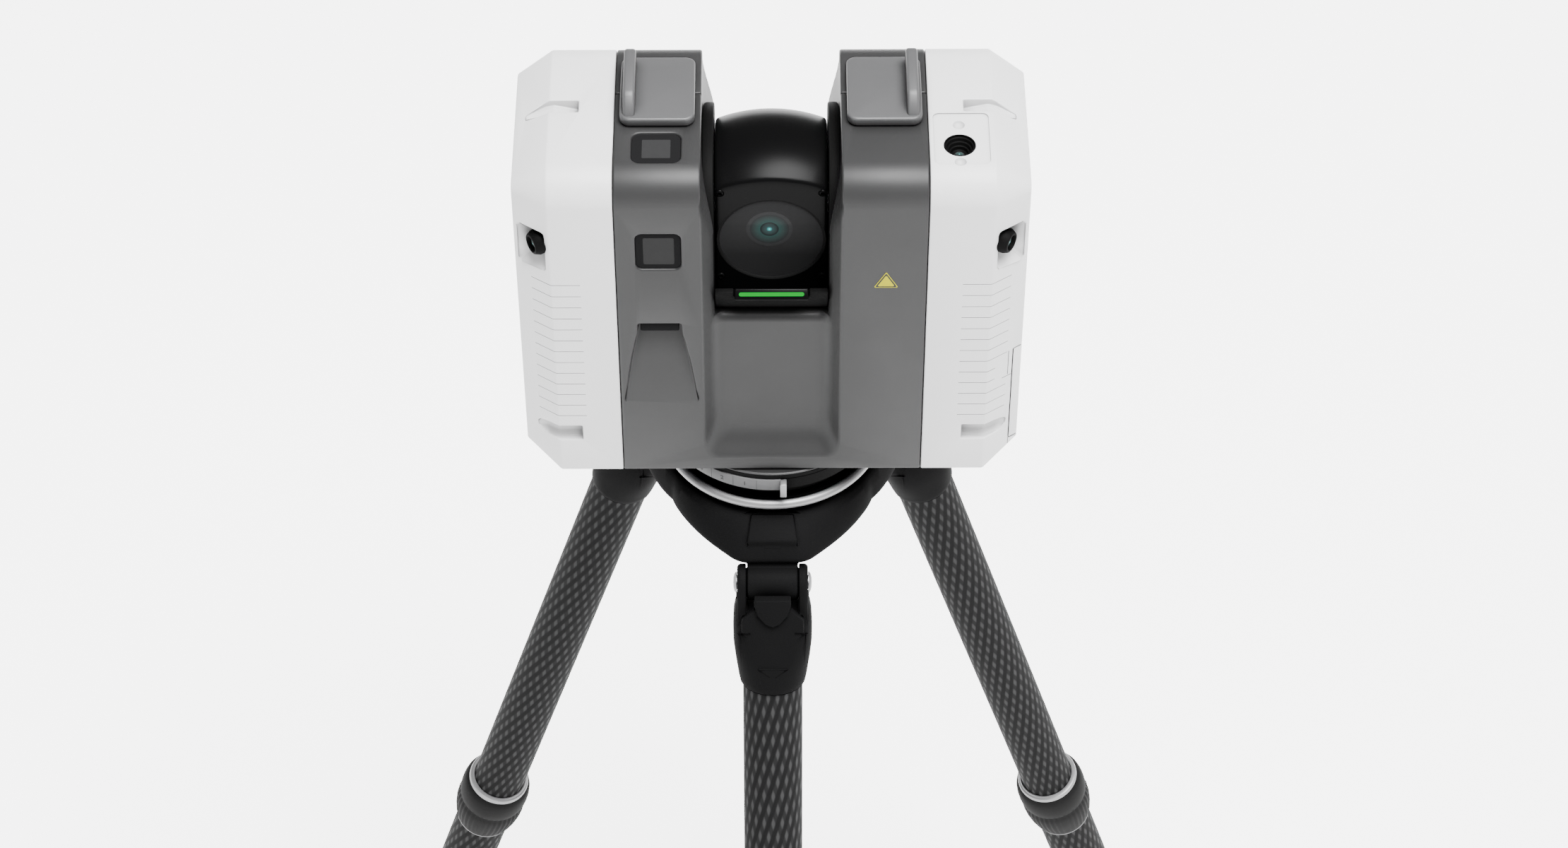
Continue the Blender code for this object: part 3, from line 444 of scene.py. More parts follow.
def carbon_finish():
    """Clear-coated carbon: bright lozenges where two bands of fibre cross, from the UV map."""
    nodes = Nodes("carbon")
    uv = nodes.node("ShaderNodeUVMap", uv_map="round_and_along").outputs["UV"]
    split = nodes.node("ShaderNodeSeparateXYZ")
    nodes.link(uv, split.inputs["Vector"])
    across = split.outputs["X"]
    down = split.outputs["Y"]
    bands = []
    for operation in ("SUBTRACT", "ADD"):
        phase = nodes.math("MULTIPLY", nodes.math(operation, across, down), TAU)
        wave = nodes.math("COSINE", phase)
        bands.append(nodes.spread(wave, 0, 1, -0.42, 0.7))
    lozenge = nodes.math("MULTIPLY", bands[0], bands[1])
    weave = nodes.math("ADD", nodes.math("MULTIPLY", bands[0], 0.24), lozenge)
    fibres = nodes.noise(1500, 2.0, (1, 1, 0.04))
    shade = nodes.math("ADD", nodes.math("MULTIPLY", weave, 0.8), nodes.math("MULTIPLY", fibres, 0.12))
    nodes.color(nodes.blend(shade, (0.0043, 0.0043, 0.0044), (0.024, 0.024, 0.0244)))
    nodes.roughness(nodes.spread(weave, 0.62, 0.5))
    nodes.bump(shade, 0.12, 0.0001)
    nodes.set(Specular_IOR_Level=0.015)
    return nodes.material


def light_finish():
    nodes = Nodes("green_light")
    glow = nodes.blend(nodes.noise(220, 1.0), (0.0, 0.64, 0.06), (0.0, 0.7, 0.07))
    nodes.link(glow, nodes.shader.inputs["Emission Color"])
    nodes.set(Base_Color=(0, 0.01, 0, 1), Emission_Strength=0.85, Roughness=0.3, Specular_IOR_Level=0.0)
    return nodes.material


def label_finish(name, low, high):
    nodes = Nodes(name)
    nodes.color(nodes.blend(nodes.noise(300), low, high))
    nodes.roughness(nodes.spread(nodes.noise(200), 0.35, 0.5))
    nodes.grain(1800, 0.08)
    nodes.set(Specular_IOR_Level=0.06)
    return nodes.material


def lens_finish():
    """Coated lens with a painted reflection of the optics inside: a teal heart that fades to black in
    rings, from the distance to its middle.
    """
    nodes = Nodes("lens")
    uv = nodes.node("ShaderNodeUVMap", uv_map="from_middle").outputs["UV"]
    split = nodes.node("ShaderNodeSeparateXYZ")
    nodes.link(uv, split.inputs["Vector"])
    reach = split.outputs["X"]
    ramp = nodes.node("ShaderNodeValToRGB")
    stops = ramp.color_ramp.elements
    stops[0].position = 0.0
    stops[0].color = (0.12, 0.5, 0.5, 1)
    stops[1].position = 1.0
    stops[1].color = (0.018, 0.018, 0.0185, 1)
    for place, colour in (
        (0.05, (0.03, 0.18, 0.18)), (0.13, (0.02, 0.035, 0.035)), (0.3, (0.015, 0.021, 0.021)),
        (0.37, (0.009, 0.01, 0.01)), (0.42, (0.015, 0.031, 0.029)), (0.6, (0.017, 0.025, 0.024)),
        (0.82, (0.014, 0.0145, 0.015)), (0.86, (0.018, 0.0185, 0.019)),
    ):
        stop = stops.new(place)
        stop.color = (*colour, 1)
    nodes.link(reach, ramp.inputs["Fac"])
    nodes.color(ramp.outputs["Color"])
    nodes.roughness(nodes.spread(nodes.noise(80), 0.06, 0.1))
    nodes.set(Specular_IOR_Level=0.02)
    return nodes.material


WHITE = moulded("white_plastic", (0.43, 0.43, 0.433), (0.46, 0.46, 0.461), 0.46, 2600, 0.12,
                Specular_IOR_Level=0.3)
# a lighter copy of the grey paint: the extra light the cap plates catch is painted into their colour
CAP_GREY_LIT = moulded("cap_grey_painted_light", (0.046, 0.046, 0.047), (0.052, 0.052, 0.053), 0.44, 3200, 0.2,
                   Metallic=0.2, Specular_IOR_Level=0.2)
GREY = moulded("grey_paint", (0.0145, 0.0145, 0.0147), (0.017, 0.017, 0.0172), 0.45, 3200, 0.2,
               Metallic=0.1, Specular_IOR_Level=0.16)
BLACK = moulded("black_plastic", (0.0022, 0.0022, 0.0022), (0.0035, 0.0035, 0.0035), 0.5, 2200, 0.25,
                Specular_IOR_Level=0.012)
ALLOY = moulded("dark_alloy", (0.0026, 0.0026, 0.0027), (0.0042, 0.0042, 0.0043), 0.6, 1600, 0.3,
                Specular_IOR_Level=0.008)
RUBBER = moulded("rubber", (0.0035, 0.0035, 0.0035), (0.0055, 0.0055, 0.0055), 0.7, 1300, 0.5,
                 Specular_IOR_Level=0.05)
HOUSING = housing_finish()
GLASS = glass_finish("dark_glass", (0.0048, 0.0048, 0.005), (0.0062, 0.0062, 0.0064))
WINDOW = glass_finish("rotor_glass", (0.014, 0.014, 0.0143), (0.0155, 0.0155, 0.0158))
GLASS_FAINT = label_finish("window_inner", (0.0068, 0.0068, 0.007), (0.008, 0.008, 0.0082))
SILVER = moulded("aluminium", (0.15, 0.15, 0.152), (0.175, 0.175, 0.177), 0.4, 1800, 0.12, Metallic=0.5)
STEEL = metal_finish("steel", (0.1, 0.1, 0.102), (0.15, 0.15, 0.153), 0.4)
CARBON = carbon_finish()
LIGHT = light_finish()
LENS = lens_finish()
SCALE = label_finish("scale_grey", (0.06, 0.06, 0.061), (0.075, 0.075, 0.076))
YELLOW = label_finish("label_yellow", (0.25, 0.235, 0.0), (0.28, 0.262, 0.0))
INK = label_finish("label_ink", (0.015, 0.015, 0.015), (0.03, 0.03, 0.03))
HOOD = label_finish("camera_hood", (0.0125, 0.0125, 0.0128), (0.0145, 0.0145, 0.0148))
BOARD = label_finish("board_green", (0.01, 0.12, 0.05), (0.02, 0.2, 0.08))
BATTERY = moulded("battery_grey", (0.05, 0.05, 0.055), (0.075, 0.075, 0.08), 0.5, 1500, 0.3)
SCREEN = glass_finish("screen", (0.007, 0.007, 0.0075), (0.009, 0.009, 0.0095))
CAST = metal_finish("cast_alloy", (0.3, 0.3, 0.31), (0.42, 0.42, 0.43), 0.4, (1, 1, 1))


# ---- casing ----------------------------------------------
def casing_outline(x, inset, steps=14):
    """The casing's section at one x: flat below, with its two upper edges rounded."""
    half = HALF_Y - inset
    top = TOP - inset
    radius = max(EDGE_R - inset, 1.2 * MM)
    points = [(half, inset), (-half, inset)]
    points += arc((-half + radius, top - radius), radius, 180, 90, steps)
    points += arc((half - radius, top - radius), radius, 90, 0, steps)
    return [(x, y, z) for y, z in points]


def casing(sections):
    return loft_mesh([casing_outline(x, inset) for x, inset in sections])


def facet_matrix(side, front, height):
    """The middle of a vertical facet; local -Y points out of the casing and local X along it."""
    turn = side * FACET_LEAN if front < 0 else math.pi - side * FACET_LEAN
    at = (side * (HALF_X - FACET_X / 2), front * (HALF_Y - FACET_YZ / 2), height)
    return Matrix.Translation(at) @ Matrix.Rotation(turn, 4, "Z")


def corner_recess(side, front):
    """The flared window of a corner camera: deep beside its lens, shallow at its far end."""
    out = -1 if front < 0 else 1
    outer = side * -out
    mouth = round_rect(mm(-7.5, 7.6), mm(-11.9, 11.9), 1.6 * MM, 4)
    floor = round_rect(mm(-7, 3.2), mm(-5.4, 10.6), 1.6 * MM, 4)
    rings = []
    for level, outline in ((-2 * MM, mouth), (0, mouth), (5.2 * MM, floor)):
        rings.append([(outer * x, level, z) for x, z in outline])
    return moved(loft_mesh(rings), facet_matrix(side, front, CORNER_CAMERA_Z))


def top_grip(side):
    """Finger slot on the top face, running out over the top facet."""
    y0, y1 = mm(-1.8, 6.3)
    end = 114.5 * MM
    fall = (end - KNEE) * FACET_YZ / FACET_X
    rings = []
    for x, floor in ((GRIP_START, 6 * MM), (KNEE - 2 * MM, 3.2 * MM), (KNEE + 2 * MM, 3 * MM)):
        drop = max(x - KNEE, 0) * FACET_YZ / FACET_X
        low = TOP - drop - floor
        rings.append([(side * x, y0, low), (side * x, y1, low), (side * x, y1, ABOVE),
                      (side * x, y0, ABOVE)])
    low = TOP - fall - 0.4 * MM
    rings.append([(side * end, y0 + 2.6 * MM, low), (side * end, y1 - 2.6 * MM, low),
                  (side * end, y1 - 2.6 * MM, ABOVE), (side * end, y0 + 2.6 * MM, ABOVE)])
    return loft_mesh(rings)


def low_grip(side, front):
    """Finger slot low on the front face, running out over the vertical facet."""
    z0, z1 = mm(21.2, 31)
    inner = 92 * MM
    end = 113.6 * MM
    outside = HALF_Y + 4 * MM
    rings = []
    for x, floor, pinch in (
        (inner, 5.5 * MM, 0), (KNEE, 5 * MM, 0), (KNEE + 5 * MM, 4 * MM, 0.4 * MM),
        (end - 2 * MM, 1.8 * MM, 1 * MM), (end, 0.3 * MM, 2.5 * MM),
    ):
        drop = max(x - KNEE, 0) * FACET_YZ / FACET_X
        deep = HALF_Y - drop - floor
        low = z0 + pinch
        rings.append([
            (side * x, front * deep, low + 2.5 * MM), (side * x, front * (deep + 2 * MM), low),
            (side * x, front * outside, low), (side * x, front * outside, z1 - pinch),
            (side * x, front * deep, z1 - pinch),
        ])
    return loft_mesh(rings)


def grip_line(side, front, height, end):
    """One engraved line: along the face, round the knee and on over the facet."""
    wide = 0.35 * MM
    deep = 0.4 * MM
    fall = (end - KNEE) * FACET_YZ / FACET_X
    outline = [
        (GRIP_START, HALF_Y + MM), (KNEE, HALF_Y + MM), (end + 0.5 * MM, HALF_Y - fall + MM),
        (end, HALF_Y - fall - deep), (KNEE, HALF_Y - deep), (GRIP_START, HALF_Y - deep),
    ]
    points = [(side * x, front * y) for x, y in outline]
    return prism_mesh(points, (height - wide / 2, height + wide / 2))


def grip_lines(side, front):
    pitch = (LINE_Z[1] - LINE_Z[0]) / (LINE_COUNT - 1)
    long_end = 112.6 * MM
    short_end = 107 * MM
    made = []
    for index in range(LINE_COUNT):
        height = LINE_Z[0] + pitch * index
        beside_door = side > 0 and 56 * MM < height < 72 * MM
        made.append(grip_line(side, front, height, short_end if beside_door else long_end))
    return made


def door_seam():
    """Fine seams of the door's frame on the right front and rear facets."""
    made = []
    for front in (-1, 1):
        for x, z in mm((115.6, (2, 59.2)), (113.5, (59, 75))):
            fall = (x - HALF_X + FACET_X) * FACET_YZ / FACET_X
            y = mirrored(front, HALF_Y - fall - 0.5 * MM, HALF_Y - fall + MM)
            made.append(box_mesh((x - 0.2 * MM, x + 0.2 * MM), y, z))
        made.append(moved(
            box_mesh(mm(-1.2, 6.2), mm(-1, 0.5), mm(-0.25, 0.25)),
            facet_matrix(1, front, 58.2 * MM),
        ))
    return made


def side_cover(name, side):
    """White side cover, solid inside, with its grips, lines, camera windows and side openings."""
    inner = side * SEAM_X
    knee = side * (HALF_X - FACET_X)
    made = as_object(name + "_side_cover_shell", casing([(inner, 0), (knee, 0), (side * HALF_X, FACET_YZ)]))
    tools = [top_grip(side)]
    for front in (-1, 1):
        tools.append(low_grip(side, front))
        tools.append(corner_recess(side, front))
    if side > 0:
        low, high = node_box("side_door")
        gap = 0.35 * MM
        tools.append(box_mesh(
            (104 * MM, HALF_X + MM), mm(-36, 36), (low.z + 4 * MM, high.z - 4 * MM)
        ))
        tools.append(box_mesh(
            (low.x - gap, HALF_X + MM), (-HALF_Y, HALF_Y), (low.z - 0.8 * MM, high.z + gap)
        ))
        tools.append(moved(disc_mesh(7.5 * MM, mm(150, 200)), sky_place()))
    else:
        low, high = node_box("touchscreen")
        outline = round_rect((low.y - 0.2 * MM, high.y + 0.2 * MM), (low.z - 0.2 * MM, high.z + 0.2 * MM),
                             2.5 * MM)
        tools.append(prism_mesh(outline, (-HALF_X - MM, -HALF_X + 5.5 * MM), "YZ"))
        at = button_middle()
        tools.append(moved(disc_mesh(8.8 * MM, mm(-8, 8)), along("X", (-HALF_X, at.y, at.z))))
    cut(made, *tools)
    rounded(made, 0.7 * MM, 3)
    details = []
    for front in (-1, 1):
        details += grip_lines(side, front)
    if side > 0:
        details += door_seam()
        details += sky_dimples()
    cut(made, *details)
    settle(made, HEAD, "head", WHITE, [name + "_side_cover"])


def sky_place():
    low, high = node_box("sky_camera")
    return Matrix.Translation(((low.x + high.x) / 2, (low.y + high.y) / 2, 0))


def sky_dimples():
    at = sky_place()
    made = []
    for offset in mm(-11.4, 13.8):
        ball = bmesh.new()
        bmesh.ops.create_uvsphere(ball, u_segments=32, v_segments=16, radius=3.1 * MM)
        made.append(moved(ball, at @ Matrix.Translation((0, offset, TOP + 0.7 * MM))))
    pad = round_rect(mm(-12, 14), mm(-13.4, 21.6), 3 * MM)
    made.append(moved(prism_mesh(pad, (TOP - 0.6 * MM, TOP + MM)), at))
    return made


def button_middle():
    low, high = node_box("power_button")
    return (low + high) / 2


def throat_half(z):
    """Half the width of the gap between the towers, at one height."""
    low, high = THROAT_BEND
    share = min(max((z - low) / (high - low), 0.0), 1.0)
    return THROAT_LOW_X + (THROAT_TOP_X - THROAT_LOW_X) * share * share * (3 - 2 * share)


def throat_tool():
    """The gap between the towers, right through the casing."""
    low, high = THROAT_BEND
    steps = 18
    heights = [THROAT_FLOOR] + [low + (high - low) * i / steps for i in range(steps + 1)]
    heights.append(TOP + 10 * MM)
    right = [(throat_half(z), z) for z in heights]
    left = [(-x, z) for x, z in reversed(right)]
    return prism_mesh(right + left, (-HALF_Y - 9 * MM, HALF_Y + 9 * MM), "XZ")


def softer(first, second, reach):
    """The lesser of two numbers, blended where they are within reach of each other."""
    share = max(reach - abs(first - second), 0) / reach
    return min(first, second) - share * share * reach / 4


def pocket_depth(x, z):
    """Depth below the front face of the splayed mouth and the sunken panel, at one point."""
    side_slope = (HALF_Y - THROAT_INSET) / (THROAT_EDGE_X - THROAT_LOW_X)
    foot_slope = 0.8
    wall = softer((THROAT_EDGE_X - abs(x)) * side_slope, (z - POCKET_FOOT) * foot_slope, 10 * MM)
    rise = min(max(z - PANEL_TOP + PANEL_ROUND, 0) / PANEL_ROUND, 1)
    floor = HALF_Y - THROAT_INSET + 0.3 * MM + PANEL_ROUND * (1 - math.sqrt(1 - rise * rise))
    depth = softer(wall, floor, 4.5 * MM)
    lip = 1.1 * MM
    if -lip < depth < lip:
        depth = (depth + lip) ** 2 / (4 * lip) - 0.02 * MM
    soft = 1.6 * MM
    over = soft - max(abs(x) - throat_half(z), 0)
    if z > PANEL_TOP and over > 0:
        depth += soft - math.sqrt(soft * soft - over * over)
    return depth


def pocket_tool(front):
    """The mouth and the panel as one smooth relief over the whole height of a face."""
    columns = [(34.4 - 0.4 * i) * MM for i in range(25)] + [(23.8 - 0.9 * i) * MM for i in range(9)]
    columns += [i * MM for i in (12, 8, 4)]
    columns += [0.0] + [-x for x in reversed(columns)]
    heights = [(7.4 + 0.8 * i) * MM for i in range(34)] + [i * MM for i in (38, 46, 56, 66, 76, 86, 91)]
    heights += [PANEL_TOP - PANEL_ROUND * math.cos(math.pi / 2 * i / 9) for i in range(10)]
    heights += [i * MM for i in (98.4, 101, 106, 120, 140, 148, 152, 156, 160, 164, 168, 172, 176, 180,
                                 204)]
    rings = []
    for z in heights:
        ring = [(x, front * (HALF_Y - max(pocket_depth(x, z), -2 * MM)), z) for x in columns]
        ring += [(columns[-1], front * (HALF_Y + 9 * MM), z), (columns[0], front * (HALF_Y + 9 * MM), z)]
        rings.append(ring)
    return loft_mesh(rings)


def trough_tool():
    """Room for the cradle under the rotor."""
    outer = 49.8 * MM
    return moved(disc_mesh(outer, mm(-27.1, 27.1), 96), along("X", (0, 0, ROTOR_Z)))


def window_box(node, grow=0.25):
    low, high = node_box(node)
    step = Vector((grow, grow, grow)) * MM
    return low - step, high + step


def grey_cover(name, front):
    """Grey front or rear cover, solid inside, split from its neighbour under the battery caps."""
    made = as_object(name + "_shell", casing([(-SEAM_X + 0.3 * MM, 0), (SEAM_X - 0.3 * MM, 0)]))
    far = HALF_Y + 20 * MM
    split = SPLIT_Y + front * 0.1 * MM
    away = (split, far) if front < 0 else (-far, split)
    tools = [box_mesh((-HALF_X, HALF_X), away, (-MM, ABOVE)), throat_tool()]
    for side in (-1, 1):
        x = tuple(sorted((side * 39 * MM, side * 68 * MM)))
        tools.append(box_mesh(x, mm(-10, 32), (TOP - 12 * MM, TOP + 5 * MM)))
    if front < 0:
        low, high = window_box("hdr_camera_top")
        outline = round_rect((low.x, high.x), (low.y, high.y), 4.2 * MM)
        tools.append(prism_mesh(outline, (TOP - 1.6 * MM, TOP + 5 * MM)))
        low, high = window_box("hdr_camera_front")
        outline = round_rect((low.x, high.x), (low.z, high.z), 3.4 * MM)
        tools.append(prism_mesh(outline, (-HALF_Y - 5 * MM, -HALF_Y + 1.8 * MM), "XZ"))
        tools.append(chute_tool())
    cut(made, *tools)
    rounded(made, 0.9 * MM, 3, 26)
    cut(made, pocket_tool(front))
    cut(made, trough_tool())
    settle(made, HEAD, "head", GREY, [name])


def chute_tool():
    """The low camera's recess: a deep slot whose floor ramps out and widens downwards."""
    low, high = node_box("hdr_camera_low")
    slot = (low.x - 0.3 * MM, high.x + 0.3 * MM)
    top = high.z + 0.4 * MM
    shoulder = low.z - 0.5 * MM
    foot_z = 48.7 * MM
    rings = []
    for z, grow, deep in (
        (top, 0, 8.5), (shoulder, 0.4, 8.4), (shoulder - 4 * MM, 1.4, 6.6), (75 * MM, 4.2, 3.9),
        (60 * MM, 6.4, 1.9), (foot_z, 7.8, 0.05), (foot_z - 6 * MM, 8.4, -1.5),
    ):
        y = -HALF_Y + deep * MM
        x0 = slot[0] - grow * MM
        x1 = slot[1] + grow * MM
        lean = 1.2 * MM if deep > 0 else 0
        rings.append([(x0 - lean, -HALF_Y - 4 * MM, z), (x1 + lean, -HALF_Y - 4 * MM, z), (x1, y, z),
                      (x0, y, z)])
    return loft_mesh(rings)


def side_door():
    """Service door: a slab of the side face with its sloped edges, and a finger tab."""
    low, high = node_box("side_door")
    made = as_object("side_door_panel", casing([(HALF_X - FACET_X, 0), (HALF_X, FACET_YZ)]))
    big = 0.3
    cut(
        made, box_mesh((0, low.x), (-big, big), (-big, big)),
        box_mesh((0, big), (-big, big), (high.z, big)),
        box_mesh((0, big), (-big, big), (-big, low.z)),
        box_mesh((HALF_X - 0.9 * MM, HALF_X + MM), mm(-9, 9), (high.z - 8 * MM, high.z - 3 * MM)),
    )
    rounded(made, 0.5 * MM, 2)
    settle(made, HEAD, "door", WHITE, ["side_door"])


# ---- cameras, label, display -----------------------------
def camera_window(name, node, plane):
    """Dark cover glass with the lighter hood of the lens in its middle."""
    low, high = node_box(node)
    if plane == "top":
        outline = round_rect((low.x, high.x), (low.y, high.y), 4 * MM)
        glass = as_object(name, prism_mesh(outline, (TOP - 14 * MM, TOP - 0.9 * MM)))
        hood = round_rect((low.x + 4.6 * MM, high.x - 4.6 * MM), (low.y + 3.6 * MM, high.y - 3.6 * MM),
                          0.5 * MM, 2)
        inner = as_object(name + "_hood", prism_mesh(hood, (TOP - 2 * MM, TOP - 0.8 * MM)))
    else:
        outline = round_rect((low.x, high.x), (low.z, high.z), 3.2 * MM)
        glass = as_object(name, prism_mesh(outline, (-HALF_Y + 0.9 * MM, -HALF_Y + 14 * MM), "XZ"))
        hood = round_rect((low.x + 3.4 * MM, high.x - 3 * MM), (low.z + 2.6 * MM, high.z - 2.6 * MM),
                          0.8 * MM, 2)
        inner = as_object(name + "_hood", prism_mesh(hood, (-HALF_Y + 0.8 * MM, -HALF_Y + 2 * MM), "XZ"))
    settle(glass, HEAD, "head", GLASS, [node])
    settle(inner, HEAD, "head", HOOD if plane == "top" else GLASS_FAINT)


def low_camera():
    low, high = node_box("hdr_camera_low")
    made = as_object("hdr_low_glass", box_mesh((low.x, high.x), (-HALF_Y + 1.6 * MM, high.y),
                                               (low.z, high.z)))
    rounded(made, 0.8 * MM, 3)
    settle(made, HEAD, "head", GLASS, ["hdr_camera_low"])


def add_reach(made, centre, radius):
    """Writes a UV map whose U is each corner's distance from a point, as a share of radius."""
    layer = made.data.uv_layers.new(name="from_middle")
    for loop in made.data.loops:
        spot = made.data.vertices[loop.vertex_index].co
        layer.data[loop.index].uv = (min((spot - centre).length / radius, 1.0), 0.5)


def lens_dome(name, radius, matrix, body):
    """A small domed lens, its top along local Z, with the painted teal reflection of the lens finish."""
    steps = 10
    profile = [(0, radius * 0.42)]
    for step in range(1, steps + 1):
        angle = math.pi / 2 * step / steps
        profile.append((radius * math.sin(angle), radius * 0.42 * math.cos(angle)))
    profile += [(radius, -radius * 0.6), (0, -radius * 0.6)]
    made = as_object(name, turned_mesh(profile, 48))
    add_reach(made, Vector((0, 0, radius * 0.42)), radius)
    settle(made, matrix, body, LENS)


def corner_cameras():
    """Hooded lenses in the four corner recesses."""
    for word, front in {"front": -1, "rear": 1}.items():
        for name, side in SIDES.items():
            out = -1 if front < 0 else 1
            outer = side * -out
            node = "corner_camera_" + word + "_" + name
            place = facet_matrix(side, front, CORNER_CAMERA_Z)
            spot = place @ Matrix.Translation((outer * -2.4 * MM, 1.4 * MM, 3.4 * MM))
            tilt = spot @ Matrix.Rotation(math.radians(90), 4, "X") @ Matrix.Rotation(
                outer * math.radians(24), 4, "Y")
            profile = mm((0, 1.2), (3.3, 1.2), (3.9, 3.4), (5, 3.2), (6.2, 0.6), (6.4, -5), (0, -5))
            made = as_object("corner_lens_hood_" + word + "_" + name, turned_mesh(profile, 56))
            rounded(made, 0.25 * MM, 2)
            settle(made, HEAD @ tilt, "head", BLACK, [node])
            lens_dome("corner_lens_" + word + "_" + name, 3.2 * MM,
                      HEAD @ tilt @ Matrix.Translation((0, 0, 0.9 * MM)), "head")


def sky_camera():
    """Stepped black cone round the upward lens."""
    profile = mm((0, -7.5), (2.6, -7.5))
    for step in range(4):
        radius = (3.2 + step) * MM
        height = (-6.9 + 1.7 * step) * MM
        profile += [(radius, height), (radius + 0.6 * MM, height + 0.25 * MM)]
    profile += [(6.9 * MM, -0.4 * MM), (7.2 * MM, -0.4 * MM), (7.2 * MM, -20 * MM), (0, -20 * MM)]
    place = HEAD @ sky_place() @ Matrix.Translation((0, 0, TOP))
    turned("sky_camera_cone", profile, 64, "head", BLACK, ["sky_camera"], place)
    lens_dome("sky_lens", 2.6 * MM, place @ Matrix.Translation((0, 0, -7.2 * MM)), "head")


def warning_triangle():
    """Plain yellow triangle with a dark border, with no symbol on it."""
    centre = mm(53.6, 127.7)
    for name, radius, lift, finish in (
        ("label_border", 5.7 * MM, 0.10, YELLOW), ("label_ring", 5 * MM, 0.16, INK),
        ("label_face", 3.7 * MM, 0.22, YELLOW),
    ):
        outline = []
        for start in (-30, 90, 210):
            angle = math.radians(start)
            spot = (centre[0] + radius * math.cos(angle), centre[1] + radius * math.sin(angle))
            outline += arc(spot, 0.5 * MM, start - 60, start + 60, 4)
        made = as_object(name, prism_mesh(outline, (-HALF_Y - lift * MM, -HALF_Y + 0.2 * MM), "XZ"))
        settle(made, HEAD, "head", finish)


def touchscreen():
    """Display on the left side face: a dark glass in a thin black frame."""
    low, high = node_box("touchscreen")
    outline = round_rect((low.y, high.y), (low.z, high.z), 2.2 * MM)
    made = as_object("touchscreen_frame", prism_mesh(outline, (low.x, high.x), "YZ"))
    rounded(made, 0.4 * MM, 2)
    settle(made, HEAD, "head", BLACK, ["touchscreen"])
    rim = 4 * MM
    outline = round_rect((low.y + rim, high.y - rim), (low.z + rim, high.z - rim), 1 * MM)
    made = as_object("touchscreen_glass", prism_mesh(outline, (low.x - 0.05 * MM, low.x + MM), "YZ"))
    settle(made, HEAD, "head", SCREEN)


def power_button():
    low, high = node_box("power_button")
    radius = (high.z - low.z) / 2
    depth = high.x - low.x
    profile = [(0, depth - 0.6 * MM), (radius - 3 * MM, depth - 0.5 * MM), (radius - 1.2 * MM, depth),
               (radius - 0.3 * MM, depth - 0.3 * MM), (radius, depth - MM), (radius, 0), (0, 0)]
    at = button_middle()
    place = Matrix.Translation((high.x, at.y, at.z)) @ Matrix.Rotation(-math.pi / 2, 4, "Y")
    turned("power_button_cap", profile, 72, "button", STEEL, ["power_button"], HEAD @ place)


# ---- battery caps ----------------------------------------
def battery_cap(name, side):
    """Cap with round corners and a tall grip fin that sweeps down to the plate."""
    low, high = node_box(name + "_battery_cap")
    plate_top = TOP + 5.1 * MM
    outline = round_rect((low.x, high.x), (low.y, high.y), 5 * MM)
    made = as_object(name + "_cap", prism_mesh(outline, (low.z, plate_top)))
    behind = high.y + MM
    slope = [(17 * MM, plate_top), (behind, plate_top - 3.6 * MM), (behind, ABOVE), (17 * MM, ABOVE)]
    cut(made, prism_mesh(slope, (low.x - MM, high.x + MM), "YZ"))
    fin = tuple(sorted((side * 63 * MM, side * 68.6 * MM)))
    base = TOP + 2.5 * MM
    rise = high.z
    nose = low.y / MM + 1.2
    profile = [(nose, base), (nose + 0.5, plate_top - 0.7 * MM), (-5.2, rise - 1.4 * MM), (-2.3, rise),
               (26.2, rise),
               (28.6, rise - 1.6 * MM), (32, base)]
    outline = [(y * MM, z) for y, z in profile]
    rounded(made, 1.2 * MM, 4, 30)
    grip = rounded(as_object("fin", prism_mesh(outline, fin, "YZ")), 1.5 * MM, 4, 30)
    merged(made, [grip])
    settle(made, HEAD, name + "_cap", CAP_GREY_LIT, [name + "_battery_cap"])


# ---- rotor -----------------------------------------------
ROTOR_R = 45.4 * MM
ROTOR_END = 40.6 * MM
ROTOR_HALF = 26.4 * MM
FLAT_Y = -25 * MM


def barrel_radius(x):
    """Radius of the rotor's barrel at one x, on an arc through its middle and its two ends."""
    drop = ROTOR_R - ROTOR_END
    curve = (ROTOR_HALF ** 2 + drop ** 2) / (2 * drop)
    return ROTOR_R - curve + math.sqrt(curve ** 2 - x ** 2)


def rotor_ring(x, shrink, steps=256):
    """One section of the housing: a circle with a flat side and soft corners."""
    radius = barrel_radius(x) - shrink
    flat = -FLAT_Y - shrink
    power = 60
    ring = []
    for step in range(steps):
        angle = TAU * step / steps
        toward = math.cos(angle)
        reach = radius
        if toward > 0.2:
            reach = (radius ** -power + (flat / toward) ** -power) ** (-1 / power)
        ring.append((x, -reach * toward, reach * math.sin(angle)))
    return ring


def rotor_housing():
    """Barrel with one flat face, rounded all round, and the seats of its glass and screws."""
    edge = 1.5 * MM
    spots = [ROTOR_HALF - edge * (1 - math.sin(math.pi / 2 * i / 7)) for i in range(8)][::-1]
    inner = ROTOR_HALF - edge
    spots += [inner - 2 * inner * i / 30 for i in range(1, 30)]
    spots += [-x for x in reversed(spots[:8])]
    rings = []
    for x in spots:
        over = max(abs(x) - inner, 0)
        rings.append(rotor_ring(x, edge - math.sqrt(max(edge * edge - over * over, 0))))
    made = as_object("rotor_barrel", loft_mesh(rings))
    tools = [
        moved(disc_mesh(window_radius() + 0.2 * MM, (FLAT_Y - 0.02, FLAT_Y + 2.4 * MM), 96), along("Y")),
        moved(disc_mesh(8.4 * MM, (-0.05, -23 * MM), 48), along("X")),
        moved(disc_mesh(8.4 * MM, (23 * MM, 0.05), 48), along("X")),
    ]
    for x, z in screw_spots():
        tools.append(moved(disc_mesh(2.1 * MM, mm(-1, 0.9), 32), along("Y", (x, FLAT_Y, z))))
    cut(made, *tools)
    settle(made, ROTOR, "rotor", HOUSING, ["rotor_housing"])


def screw_spots():
    return [(side * 24 * MM, up) for side in (-1, 1) for up in mm(30, -23.4)]


def window_radius():
    low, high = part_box("rotor_window")
    return (high.x - low.x) / 2


